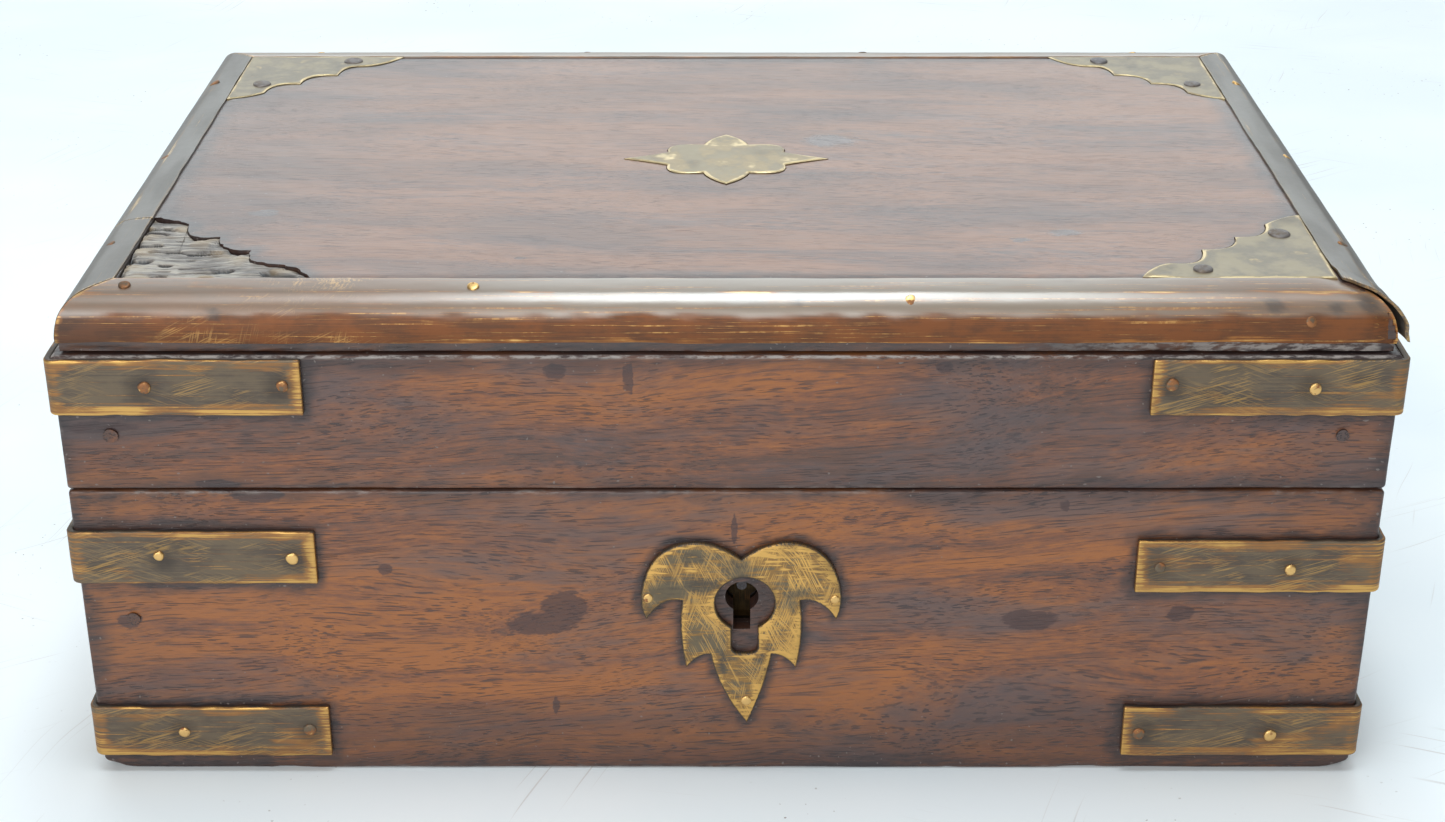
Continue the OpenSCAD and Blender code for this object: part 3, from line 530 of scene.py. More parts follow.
def rosewood(name, turn=0.0, offset=(0, 0, 0), glow=0.0, murk=0.75, deep=0.0, wax=0.1, gloss=0.4, pored=1.0):
    """Old waxed rosewood: soft orange and murky zones along the grain, short dark pores in crowds, soot and
    painted shade where the dirt layer says so, stains, and torn edges, with a painted highlight on
    the rails' top arris, where the torn layer says so. turn lays the grain along Y, offset picks another
    part of the tree, glow makes it more orange, murk is the strength of its dull zones, deep darkens all
    of it, wax is the shine over it, gloss the roughness below it and pored how strongly its pores show."""
    wood = Surface(name)
    place = wood.place(turn, offset)
    leaned = wood.turned(place, (0, 0.06, 0.05))
    flow = wood.warped(leaned, (90, 30, 30), (0, 14, 14))
    bands = wood.noise(flow, (110, 9, 9), 4, 0.55)
    streaks = wood.noise(flow, (30, 1.2, 1.2), 4, 0.6)
    mottle = wood.noise(flow, (3, 0.9, 0.9), 3, 0.65)
    fibres = wood.noise(flow, (9, 0.28, 0.28), 2, 0.6)
    dashes = wood.noise(flow, (5, 0.3, 0.3), 1, 0.5)
    lines = wood.noise(flow, (16, 0.42, 0.42), 1, 0.5)
    crowds = wood.noise(flow, (24, 6, 6), 2, 0.5)
    clouds = wood.noise(flow, (55, 16, 16), 4, 0.6)
    specks = wood.noise(place, (0.8, 0.8, 0.8), 0)
    tone = bands * 0.4 + streaks * 0.28 + mottle * 0.18 + fibres * 0.14 + glow
    colour = wood.shades(tone, [(0.41, WOOD_BROWN), (0.48, WOOD_RED), (0.56, WOOD_ORANGE)])
    dull = clouds * 0.7 + streaks * 0.3
    colour = wood.mix(wood.ramp(dull, 0.44, 0.62, 0, murk), colour, WOOD_MURK)
    pores = wood.ramp(dashes, 0.57, 0.65) * wood.ramp(crowds, 0.4, 0.58, 0.3, 0.95)
    veins = wood.ramp(lines, 0.6, 0.68) * wood.ramp(crowds, 0.62, 0.44, 0.1, 0.8)
    pores = pores.at_least(veins) * pored
    colour = wood.mix(pores, colour, WOOD_PORE)
    stain = wood.ramp(wood.painted("stain") + (mottle - 0.5) * 0.5, 0.46, 0.56, 0, 0.78)
    colour = wood.mix(stain, colour, WOOD_STAIN)
    if deep:
        colour = wood.mix(deep, colour, BLACK)
    # The dirt layer: soot, and painted shade in the keyhole and towards the back of the top
    dirt = wood.painted("dirt")
    grime_and_shade = dirt + dirt * ((streaks + mottle - 1.0) * 1.2)
    colour = wood.mix(wood.ramp(grime_and_shade, 0, 1, 0, 0.9), colour, WOOD_SOOT_AND_SHADE)
    colour = wood.mix(wood.ramp(grime_and_shade * 0.1 + specks, 0.83, 0.89, 0, 0.6), colour, WOOD_SCUM)
    # The torn layer: torn fibres, and along the rails' top arris pale dust with a painted highlight
    torn = wood.painted("torn")
    colour = wood.mix(torn * wood.ramp(mottle, 0.4, 0.6), colour, WOOD_TORN_AND_HIGHLIGHT)
    rough = wood.ramp(clouds, 0.3, 0.7, gloss - 0.03, gloss + 0.04) + pores * 0.2 + torn * 0.3 - stain * 0.12
    relief = wood.bump(fibres, 0.03)
    relief = wood.bump(wood.ramp(pores, 0, 1, 1, 0), 0.08, relief)
    return wood.finish(
        Base_Color=colour, Roughness=rough, Normal=relief, Specular_IOR_Level=0.58,
        Coat_Weight=wax, Coat_Roughness=0.32,
    )


def torn_wood():
    """Rough grey fibres where a plate was torn off, black where the dirt layer says so and tan where the
    torn layer does."""
    wood = Surface("torn_wood")
    place = wood.place()
    flow = wood.warped(place, (20, 8, 8), (0, 5, 0))
    fibres = wood.noise(flow, (9, 0.6, 0.6), 3, 0.6)
    clouds = wood.noise(place, (12, 7, 7), 3, 0.6)
    stops = [(0.38, srgb(78, 70, 66)), (0.5, srgb(136, 128, 120)), (0.6, srgb(186, 176, 162))]
    colour = wood.shades(fibres * 0.6 + clouds * 0.4, stops)
    colour = wood.mix(wood.painted("dirt"), colour, srgb(24, 21, 21))
    colour = wood.mix(wood.painted("torn") * 0.5, colour, srgb(170, 146, 112))
    relief = wood.bump(fibres, 0.25)
    return wood.finish(Base_Color=colour, Roughness=0.48, Normal=relief, Specular_IOR_Level=0.8)


BRASS_GOLD = srgb(204, 160, 94)
BRASS_WARM = srgb(152, 108, 66)
BRASS_OLIVE = srgb(111, 97, 80)
BRASS_SOOT = srgb(56, 50, 47)


def patinated_brass(
    name, patina, shade, warm=BRASS_WARM, gold=BRASS_GOLD, sweep=(24, 24, 0.35), rubbed=0.0, metal=0.6,
    varnish=0.0, crest=None, cuts=(), lined=0.63, painted_shade_at=None,
):
    """Brass under a dull skin that is rubbed through to warm brown and then gold where the rub layer says.
    sweep is the size of a polishing mark along each axis, rubbed bares more of the metal, varnish is the
    strength of a clear shine, crest the colour where the crest layer says so, with the shine kept to it,
    cuts the lean of each set of crossing scratches and its strength, a lower lined gives more gold
    polishing marks, and the brass round painted_shade_at, in millimetres, is painted black as shade."""
    brass = Surface(name)
    place = brass.place()
    marks = brass.noise(place, sweep, 3, 0.65)
    cloud = brass.noise(place, (9, 9, 5), 4, 0.6)
    fine = brass.noise(place, (1.6, 1.6, 1.6), 3, 0.6)
    colour = brass.mix(brass.ramp(cloud * 0.55 + marks * 0.45, 0.42, 0.58), patina, shade)
    if crest:
        crested = brass.painted("crest")
        colour = brass.mix(crested, colour, crest)
    wear = brass.painted("rub") * brass.ramp(marks, 0.3, 0.7, 0.6, 1.35) + marks - 0.5 + cloud * 0.9
    lines = brass.ramp(marks, lined, lined + 0.08)
    browned = brass.ramp(wear, 0.56 - rubbed, 0.84 - rubbed).at_least(lines * 0.8)
    bare = brass.ramp(wear, 0.9 - rubbed, 1.12 - rubbed)
    bare = bare.at_least(lines * brass.ramp(fine, 0.45, 0.65, 0, 0.6))
    for number, (lean, strength) in enumerate(cuts):
        leaned = brass.turned(place, (0, lean, 0))
        scratches = brass.noise(leaned, (8, 1, 0.22), 2, 0.55)
        patches = brass.noise(leaned, (9 + number, 5, 5), 2, 0.5)
        patches = brass.ramp(patches, 0.42, 0.56) * brass.painted("scratch")
        bare = bare.at_least(brass.ramp(scratches + patches * 0.09, 0.59, 0.64) * patches * strength)
    colour = brass.mix(browned, colour, warm)
    colour = brass.mix(bare, colour, gold)
    colour = brass.mix(brass.painted("dirt"), colour, BRASS_SOOT)
    # Painted shade: the brass round painted_shade_at is painted black, for the dark inside the keyhole
    if painted_shade_at:
        away = brass.vector_maths("DISTANCE", place, painted_shade_at, "Value")
        colour = brass.mix(brass.ramp(away, 8, 5), colour, BLACK)
    metallic = brass.ramp(bare, 0, 1, metal, 1.0)
    shine = varnish
    if crest:
        metallic = metallic.at_least(crested * 0.5)
        shine = crested * varnish
    rough = brass.ramp(bare, 0, 1, 0.46, 0.32) + fine * 0.14
    relief = brass.bump(fine, 0.04, brass.bump(marks, 0.03))
    return brass.finish(
        Base_Color=colour, Metallic=metallic, Roughness=rough, Normal=relief,
        Coat_Weight=shine, Coat_Roughness=0.34, Coat_IOR=2.3,
    )


def dull_iron(name, tone, rust):
    """Oxidised iron with rusty clouds."""
    iron = Surface(name)
    place = iron.place()
    cloud = iron.noise(place, (3, 3, 3), 4, 0.65)
    fine = iron.noise(place, (0.5, 0.5, 0.5), 2, 0.5)
    colour = iron.mix(iron.ramp(cloud, 0.45, 0.7), tone, rust)
    colour = iron.mix(iron.painted("rub"), colour, BRASS_GOLD)
    rough = iron.ramp(fine, 0.3, 0.7, 0.42, 0.65)
    return iron.finish(Base_Color=colour, Metallic=0.55, Roughness=rough, Normal=iron.bump(fine, 0.05))


def pale_table():
    """A pale painted table with faint scratches and specks."""
    table = Surface("pale_table")
    place = table.place()
    cloud = table.noise(place, (160, 120, 100), 3, 0.5)
    colour = table.mix(table.ramp(cloud, 0.35, 0.65), srgb(248, 252, 253), srgb(239, 246, 249))
    for turn, length in ((0.35, 36), (1.9, 60), (2.6, 48)):
        bent = table.warped(table.turned(place, (0, 0, turn)), (90, 90, 90), (0, 22, 0))
        lines = table.noise(bent, (length, 0.9, 1), 1, 0.5)
        patches = table.noise(bent, (60, 40, 1), 2, 0.5)
        faint = table.ramp(lines, 0.66, 0.72) * table.ramp(patches, 0.54, 0.66, 0, 0.32)
        colour = table.mix(faint, colour, srgb(170, 150, 136))
    crumbs = table.noise(place, (1.1, 1.1, 1.1), 0)
    strewn = table.noise(place, (70, 50, 1), 2, 0.5)
    crumbs = table.ramp(crumbs, 0.8, 0.84) * table.ramp(strewn, 0.5, 0.65, 0, 0.8)
    colour = table.mix(crumbs, colour, srgb(110, 84, 66))
    rough = table.ramp(cloud, 0.3, 0.7, 0.42, 0.52)
    return table.finish(Base_Color=colour, Roughness=rough, Specular_IOR_Level=0.3)


MATERIALS = {
    "case_front": rosewood("rosewood_case_front", offset=(40, 0, 0), glow=0.035, pored=0.75),
    "case_back": rosewood("rosewood_case_back", offset=(310, 60, 40), glow=0.01),
    "case_side": rosewood("rosewood_case_side", QUARTER, (90, 200, 15), glow=0.01),
    "lid_front": rosewood("rosewood_lid_front", offset=(-220, 15, 80), glow=-0.012, pored=0.7),
    "lid_back": rosewood("rosewood_lid_back", offset=(700, 15, 180)),
    "lid_side": rosewood("rosewood_lid_side", QUARTER, (400, 20, 130)),
    "top": rosewood(
        "rosewood_top", offset=(120, 333, 60), glow=0.035, murk=0.5, deep=0.27, wax=0.46, gloss=0.35,
        pored=0.4,
    ),
    "inside": rosewood("rosewood_inside", QUARTER, (15, 90, 5), glow=-0.02, gloss=0.6),
    "strap": patinated_brass(
        "brass_strap", BRASS_OLIVE, srgb(88, 79, 71), lined=0.6, cuts=((0.3, 0.75), (-0.35, 0.4))
    ),
    "edge_x": patinated_brass(
        "brass_edge_long", srgb(122, 70, 32), srgb(94, 57, 32), srgb(158, 102, 48), srgb(216, 170, 104),
        (34, 0.5, 0.4), metal=0.35, varnish=1.0, crest=srgb(134, 115, 94), cuts=((0.45, 0.8), (1.3, 0.5)),
        lined=0.57,
    ),
    "edge_y": patinated_brass(
        "brass_edge_short", srgb(92, 84, 74), srgb(70, 68, 66), srgb(124, 104, 80), srgb(196, 166, 116),
        (0.5, 34, 0.4), metal=0.15, varnish=0.46, crest=srgb(110, 104, 96),
    ),
    "plate": patinated_brass(
        "brass_plate", srgb(150, 136, 108), srgb(124, 114, 96), srgb(160, 140, 104), srgb(206, 184, 138),
        (6, 6, 2), metal=0.4, varnish=0.25,
    ),
    "leaf": patinated_brass(
        "brass_leaf", srgb(112, 100, 80), srgb(88, 81, 72), srgb(146, 112, 68), srgb(216, 170, 98),
        (5, 2, 0.6), cuts=((-1.15, 1.0), (-0.85, 0.9), (-1.9, 0.75), (1.4, 0.7)),
    ),
    "nail": patinated_brass(
        "brass_nail", BRASS_OLIVE, srgb(84, 70, 56), srgb(150, 100, 62), srgb(222, 180, 116), (2, 2, 2)
    ),
    # The lock's brass just behind the keyhole is painted black as shade
    "lock": patinated_brass(
        "brass_lock", srgb(110, 90, 60), srgb(74, 62, 46), sweep=(0.6, 2, 9), rubbed=0.05, metal=0.8,
        painted_shade_at=(KEY_X, FRONT_LO[1] + 3, KEY_Z - 2),
    ),
    "hinge": patinated_brass("brass_hinge", srgb(120, 100, 70), srgb(84, 72, 56), sweep=(12, 1, 1)),
    "bare": torn_wood(),
    "peg": rosewood("peg_wood", 0.6, (55, 7, 9), glow=-0.06, deep=0.3),
    "iron": dull_iron("dark_iron", srgb(84, 80, 82), srgb(70, 52, 42)),
    "stud": dull_iron("grey_stud", srgb(112, 112, 116), srgb(84, 74, 66)),
}

# --- boards of the case and the lid --------------------------------------------------------------

LEAF_T = 1.2
KNUCKLE_CUT_R = 2.8
STOP_SLOPE = math.tan(math.radians(53.5))
LEVELS = ("low", "mid", "lid")
CORNERS = [("front", "left"), ("front", "right"), ("back", "left"), ("back", "right")]
CORNER_ROUND = 7.0
CORNER_LIFT = 2.2
BOARD_STEPS = (1.5, 1.5, 1.2)
# Dark stains, knots and knocks on the front: x, z, half width and half height of each
FRONT_STAINS = [
    (-37.0, 34.2, 6.8, 2.6), (-31.8, 38.0, 4.6, 3.6), (60.0, 35.0, 5.5, 2.4), (-34.2, 15, 0.9, 2.4),
    (1.6, 55.6, 0.5, 4.0), (89.6, 36.5, 3.0, 2.0), (-118.1, 34.8, 2.4, 1.6), (-32.3, 89, 2.2, 1.6),
    (-18.6, 87.5, 1.1, 3.6), (41, 90, 1.6, 1.4), (-119.5, 77.4, 8.0, 1.3), (-97.5, 64.8, 4.5, 1.5),
    (-90.5, 62.8, 5.0, 1.4), (65.4, 60.6, 1.0, 1.5), (-66.9, 46.4, 1.6, 1.2),
]


def gap_to_block(points, lo, hi):
    """Distance of each point from a block."""
    return np.linalg.norm(np.maximum(np.maximum(lo - points, points - hi), 0), axis=1)


def strap_gap(points):
    """Distance of each point from the nearest arm of any strap."""
    nearest = np.full(len(points), 1e9)
    for level, (end, side), axis in product(LEVELS, CORNERS, range(2)):
        lo, hi = box_mm(f"strap_{level}_{end}_{side}")
        if (side, end)[axis] in ("left", "front"):
            hi[axis] = -(HALF_W, HALF_D)[axis]
        else:
            lo[axis] = (HALF_W, HALF_D)[axis]
        nearest = np.minimum(nearest, gap_to_block(points, lo, hi))
    return nearest


def leaf_gap(points):
    """Distance of each point from the escutcheon, below 0 in the keyhole, for points near the front face."""
    x, y, z = points.T
    gap = distance_to(leaf_outline(), points[:, [0, 2]])
    eye = np.hypot((x - EYE_CENTRE[0]) / (EYE_R + 1), (z - EYE_CENTRE[1] + 3) / (EYE_R + 4))
    gap = np.where(eye < 1.1, 0.6, gap)
    # The keyhole's bore counts as below 0, so the board is painted dark there as shade
    key_hole = (np.hypot(x - KEY_X, z - KEY_Z + 2) < KEY_R + 3) & (y < FRONT_HI[1] - 0.2)
    gap = np.where(key_hole & (y > 0.6 - HALF_D), -5, gap)
    return gap + 50 * ((y > -HALF_D + 2) & ~key_hole)


def nearest_spot(u, v, spots):
    """How far each point lies from the nearest spot, as a share of that spot's own half sizes."""
    reach = [np.hypot((u - x) / half_u, (v - y) / half_v) for x, y, half_u, half_v in spots]
    return np.min(reach, axis=0)


def worn(points, lo, hi, hull_lo, hull_hi, seed):
    """A board's points with soft arrises, and chips and wear along the edges of the whole box."""
    soft = 0.3 + 0.12 * noise(points, 9, seed)
    points = rounded(points, lo, hi, soft)
    chips = ramp(noise(points, (5, 5, 5), seed + 3), 0.35, 0.9) * ramp(noise(points, 23, seed + 5), -0.1, 0.5)
    reach = 0.75 + 0.3 * noise(points, 14, seed + 1) + 1.7 * chips
    points = rounded(points, hull_lo, hull_hi, reach)
    ripple = 0.07 * rough_noise(points, 26, 40)
    outward = points / np.array([hull_hi[0], hull_hi[1], 1e9])
    for axis in range(2):
        near = ramp(np.abs(outward[:, axis]), 0.985, 0.999)
        points[:, axis] += np.sign(points[:, axis]) * near * (ripple - 0.08)
    return points


def worn_feet(points):
    """The case's lower corners, knocked round."""
    to_corner = (HALF_W, HALF_D) - np.abs(points[:, :2])
    near = np.prod(np.clip(1 - to_corner / CORNER_ROUND, 0, 1) ** 2, axis=1)
    points[:, 2] += CORNER_LIFT * near * np.clip(1 - points[:, 2] / 9, 0, 1)
    return points


def stop_cut(points, side):
    """The slope behind the hinge's axis that lets the lid lean back; side is 1 above it and -1 below."""
    reach = np.maximum(points[:, 1] - AXIS_Y, 0) * STOP_SLOPE
    clear = side * np.maximum(side * points[:, 2], side * AXIS_Z + reach)
    points[:, 2] = np.where(reach > 0, clear, points[:, 2])
    return points


def case_back_shape(points):
    """The case's back board: worn feet, and cut away below the hinge's axis."""
    return stop_cut(worn_feet(points), -1)


def lid_back_shape(points):
    """The lid's back rail, cut away above the hinge's axis."""
    return stop_cut(points, 1)


def paint_board(piece, hull_lo, hull_hi, seed):
    """Soot round the brass and along the box's edges, painted shade inside the keyhole, darker towards the
    bottom and the ends, stains, torn fibres at the chipped edges, and pale dust with a painted highlight
    along the rails' top arris.
    """
    points = points_of(piece)
    x, y, z = points.T
    to_edge = np.sort(np.column_stack([np.abs(points - hull_lo), np.abs(hull_hi - points)]), axis=1)[:, 1]
    loose = rough_noise(points, (14, 14, 7), seed)
    fine = rough_noise(points, (2.5, 2.5, 2.5), seed + 9, 2)
    halo = ramp(strap_gap(points) + 1.2 * fine + 1.4 * loose, 3.6, 0.2) * 0.8
    # Soot round the escutcheon, and painted shade inside the keyhole
    leaf = ramp(leaf_gap(points) + 0.8 * fine, 2.4, 0.1) * 0.9
    edge = ramp(to_edge + 2.2 * loose + 1.2 * fine, 5, 0) * 0.6
    far = ramp(np.abs(x) + 9 * loose, HALF_W - 38, HALF_W - 2) * 0.3
    smudge = ramp(loose, 0.35, 0.9) * 0.3
    # Darker towards the bottom of the case
    foot = ramp(z + 4 * loose, 26, 6) * 0.5
    dirt = 1 - (1 - halo) * (1 - leaf) * (1 - edge) * (1 - far) * (1 - smudge) * (1 - foot)
    torn = ramp(to_edge + 0.5 * fine, 1.1, 0.2) * ramp(loose + fine, 0.1, 0.7) * 0.5
    # Pale dust and a painted highlight along the top arris of the rails, put in the torn layer
    dust_and_highlight = ramp(RAIL_TOP - z, 0.7, 0.25) * ramp(to_edge, 0.9, 0.4) * ramp(fine, -1.0, -0.2) * 0.9
    wave = rough_noise(points, (5, 5, 2.5), seed, 3)
    stain = 1 - 0.5 * nearest_spot(x, z, FRONT_STAINS) + 0.14 * wave
    paint(piece, dirt=dirt, torn=np.maximum(torn, dust_and_highlight), stain=np.where(y < 1 - HALF_D, stain, 0))


def board(node, material, body, hull_lo, hull_hi, seed, cutters, shape=None):
    """A worn board in its node's place, cut where its neighbours stand in it."""
    lo, hi = box_mm(node)
    points, quads = lattice(*(ruled(*ends) for ends in zip(lo, hi, BOARD_STEPS)))
    points = worn(points, lo, hi, hull_lo, hull_hi, seed)
    if shape:
        points = shape(points)
    piece = make_piece(node + "_board", points, quads, material, body, [node])
    carve(piece, cutters)
    paint_board(piece, hull_lo, hull_hi, seed)


def space(node, grow_lo=(0, 0, 0), grow_hi=(0, 0, 0)):
    """A cutter that fills a node's box, grown past the faces that it opens."""
    lo, hi = box_mm(node)
    return block_cutter(lo - np.array(grow_lo), hi + np.array(grow_hi))


def side_spaces(prefix, inward):
    """Rebates at a long board's ends for the two side boards; inward points into the box along Y."""
    grow_lo = (0, 0 if inward > 0 else 1, 1)
    grow_hi = (0, 1 if inward > 0 else 0, 1)
    left = space(prefix + "_left", (1, *grow_lo[1:]), grow_hi)
    right = space(prefix + "_right", grow_lo, (1, *grow_hi[1:]))
    return [left, right]


def inner_spaces():
    """The bottom board's rebate and the partitions' grooves."""
    rise = CASE_TOP - box_mm("partition_left")[1][2] + 1
    grooves = [space("partition_" + side, grow_hi=(0, 0, rise)) for side in ("left", "right")]
    return [space("case_bottom", grow_lo=(0, 0, 1)), *grooves]


def keyhole_cutter():
    """The keyhole, through the front board into the lock's mortise."""
    outline = keyhole_outline((KEY_X, KEY_Z), KEY_R, KEY_SLOT_HALF, KEY_SLOT_LOW, 0, 36, 1)
    return extruded(outline, 1, -HALF_D - 1, box_mm("lock_case")[0][1] + 1)


def hinge_spaces(z_inner, z_open):
    """Recesses for the leaves and knuckles of both hinges, from z_inner to past the parting plane."""
    low, high = sorted((z_inner, z_open))
    barrel = (AXIS_Y, AXIS_Z) - KNUCKLE_CUT_R * unit(np.arange(32) * math.tau / 32)
    tools = []
    for side in ("left", "right"):
        lo, hi = box_mm(f"hinge_{side}_case_leaf")
        tools.append(block_cutter((lo[0], lo[1] - 1, low), (hi[0], AXIS_Y, high)))
        tools.append(extruded(barrel, 0, lo[0], hi[0]))
    return tools


def make_case():
    """The four walls of the case."""
    hull = np.array([-HALF_W, -HALF_D, 0]), np.array([HALF_W, HALF_D, CASE_TOP])
    lock = space("lock_case", grow_hi=(0, 1, 1))
    tools = [*side_spaces("case", 1), *inner_spaces(), lock, keyhole_cutter()]
    board("case_front", "case_front", "case", *hull, 11, tools, worn_feet)
    tools = [*side_spaces("case", -1), *inner_spaces(), *hinge_spaces(CASE_TOP - LEAF_T, CASE_TOP + 1)]
    board("case_back", "case_back", "case", *hull, 12, tools, case_back_shape)
    for seed, side in ((13, "left"), (14, "right")):
        tools = [space("case_bottom", grow_lo=(0, 1, 1), grow_hi=(0, 1, 0))]
        board("case_" + side, "case_side", "case", *hull, seed, tools, worn_feet)


def make_rails():
    """The four rails of the lid."""
    hull = np.array([-HALF_W, -HALF_D, RAIL_BASE]), np.array([HALF_W, HALF_D, RAIL_TOP])
    lo, hi = box_mm("link_plate")
    link = block_cutter((lo[0], lo[1], RAIL_BASE - 1), (hi[0], hi[1] + 1, hi[2]))
    board("lid_front", "lid_front", "lid", *hull, 21, [*side_spaces("lid", 1), link])
    tools = [*side_spaces("lid", -1), *hinge_spaces(RAIL_BASE + LEAF_T, RAIL_BASE - 1)]
    board("lid_back", "lid_back", "lid", *hull, 22, tools, lid_back_shape)
    for seed, side in ((23, "left"), (24, "right")):
        board("lid_" + side, "lid_side", "lid", *hull, seed, [])


# --- top board -----------------------------------------------------------------------------------

SHADOW_GAP = 0.4
SHADOW_DEPTH = 4
BOARD_STRAIGHT = 2.9
ROUND_R = 8
ARC_Z = TOP_LO[2] + BOARD_STRAIGHT
BED_Z = ARC_Z + ROUND_R
BARE_SINK = 0.6
PLATE_SLACK = 0.25
FRONT_LEFT = np.array([-FIELD_X, -FIELD_Y])
# The corner plates still in place: the sides of the field, and how far the plate's rim has lifted
CORNER_PLATES = {
    "corner_plate_front_right": (1, -1, 0.45),
    "corner_plate_back_left": (-1, 1, 0.1),
    "corner_plate_back_right": (1, 1, 0.1),
}
# Faint knots in the top: x, y, half width and half depth of each
TOP_KNOTS = [
    (23, 9, 6, 4), (67, -47, 3.6, 1.8), (58, -51, 2.6, 1.3), (-94, -36, 3.2, 2.2), (-40, -61, 1.4, 0.8),
]


def rimmed(lo, hi, step):
    """Lines across the top board, close together over its rounded rims."""
    turn = np.radians(np.arange(90, -1, -9))
    rim = np.concatenate([ROUND_R * (1 - np.sin(turn)), [EDGE_IN - 1.8, EDGE_IN - 1.4]])
    rim = np.sort(np.concatenate([rim, [SHADOW_DEPTH - 0.1, SHADOW_DEPTH + 0.1]]))
    count = round((hi - lo - 2 * rim[-1]) / step)
    middle = np.linspace(lo + rim[-1], hi - rim[-1], count + 1)
    return np.concatenate([lo + rim[:-1], middle, hi - rim[:-1][::-1]])


def inset(points, half_x, half_y):
    """How far inside the centred rectangle of those half sizes each point lies."""
    return np.minimum(half_x - np.abs(points[:, 0]), half_y - np.abs(points[:, 1]))


def make_top():
    """The top board: rounded under its brass, with a raised field and beds for the plates."""
    lo, hi = TOP_LO, TOP_HI
    zs = np.linspace(lo[2], ARC_Z, 8)
    points, quads = lattice(rimmed(lo[0], hi[0], 1.5), rimmed(lo[1], hi[1], 1.5), zs)
    edge_gap = inset(points, *hi[:2])
    inside = inset(points, FIELD_X, FIELD_Y)
    on_top = points[:, 2] > ARC_Z - 0.01
    on_low = points[:, 2] < lo[2] + 0.01
    beyond = np.clip(ROUND_R - edge_gap, 0, ROUND_R)
    ripple = 0.09 * (rough_noise(points, (40, 26, 30), 61) - 1) * ramp(inside, 0, 6)
    height = ARC_Z + np.sqrt(ROUND_R**2 - beyond**2) + (FIELD_Z - BED_Z) * ramp(inside, -0.1, 0.5) + ripple
    fibres = rough_noise(points, (7, 7, 0.7), 62)
    tear = (edge_gap < 0.01) * ~on_top * (0.12 + 0.35 * ramp(points[:, 0], 40, 120)) * (fibres - 0.6)
    for axis in (1, 0):
        at_end = np.abs(points[:, axis]) > hi[axis] - 0.01
        points[:, axis] += np.sign(points[:, axis]) * tear * at_end
    gap = SHADOW_GAP + 0.15 * rough_noise(points, (25, 25, 9), 63)
    points[:, 2] = np.where(on_low & (edge_gap < SHADOW_DEPTH), lo[2] + gap, points[:, 2])
    points[:, 2] = np.where(on_top, height, points[:, 2])
    piece = make_piece("top_board", points, quads, "top", "lid", ["lid_top"])
    carve(piece, top_beds())
    paint_top(piece)


def bare_outline():
    """The rough bed's border: a corner plate's outline, gnawed along its lobes."""
    outline = corner_outline(-1, -1, 14)
    away = outline - FRONT_LEFT
    lobed = ramp(away.min(axis=1), 0.5, 3)
    away /= np.maximum(np.linalg.norm(away, axis=1, keepdims=True), 1e-6)
    gnaw = 0.9 * rough_noise(np.insert(outline, 2, 0, axis=1), 1.8, 64) + 0.25
    return outline + away * (gnaw * lobed)[:, None]


def grown(outline, amount):
    """An outline moved outwards along its own normals."""
    along = np.roll(outline, -1, axis=0) - np.roll(outline, 1, axis=0)
    normal = np.column_stack([along[:, 1], -along[:, 0]])
    normal /= np.maximum(np.linalg.norm(normal, axis=1, keepdims=True), 1e-9)
    area = np.sum(outline[:, 0] * np.roll(outline[:, 1], -1) - np.roll(outline[:, 0], -1) * outline[:, 1])
    return outline + normal * amount * np.sign(area)


def bed_cutter(outline, depth):
    """A cutter for a bed of that depth in the field."""
    return extruded(outline, 2, FIELD_Z - depth, FIELD_Z + 2)


def top_beds():
    """Cutters for the shallow beds of the plates and for the bare one."""
    plates = [corner_outline(sx, sy, 6) for sx, sy, _ in CORNER_PLATES.values()]
    depth = FIELD_Z - PLATE_LO[2] + 0.1
    beds = [bed_cutter(grown(outline, PLATE_SLACK), depth) for outline in (*plates, rosette_outline(6))]
    return [*beds, bed_cutter(bare_outline(), BARE_SINK + 1)]


def paint_top(piece):
    """Soot along the brass and round the plates, darker towards the left, painted shade towards the back, and
    a dark open edge of the board.
    """
    points = points_of(piece)
    x, y, z = points.T
    flat = points[:, :2]
    loose = rough_noise(points, (24, 12, 9), 65)
    fine = rough_noise(points, 2.5, 66, 2)
    border = ramp(inset(points, FIELD_X, FIELD_Y) + 1.5 * fine + 3 * loose, 6, 0) * 0.7
    plates = distance_to(rosette_outline(4), flat) + 1
    for sx, sy, _ in CORNER_PLATES.values():
        plates = np.minimum(plates, distance_to(corner_outline(sx, sy, 4), flat))
    bare = distance_to(bare_outline()[::2], flat)
    halo = np.maximum(ramp(plates + fine, 2.5, 0) * 0.6, ramp(bare + 1.5 * fine, 4, 0) * 0.75)
    left = ramp(x + 20 * loose, -50, -112) * 0.4
    # Painted shade towards the back of the top
    back = ramp(y + 14 * loose, 10, 75) * 0.22
    dirt = 1 - (1 - border) * (1 - halo) * (1 - left) * (1 - back)
    # The board's open edge under the brass is darkened
    open_edge = (z < BED_Z - 1) & (inset(points, *TOP_HI[:2]) < 1)
    underside = (z < ARC_Z) & ~open_edge
    dirt = np.where(open_edge, 0.75 + 0.3 * fine, np.where(underside, 0.15, dirt))
    torn = np.where(open_edge & (np.abs(x) < HALF_W - 4), ramp(x, 40, 110) * 0.8, 0)
    knots = 0.72 - 0.24 * nearest_spot(x, y, TOP_KNOTS) + 0.1 * fine
    paint(piece, dirt=dirt, torn=torn, stain=knots)


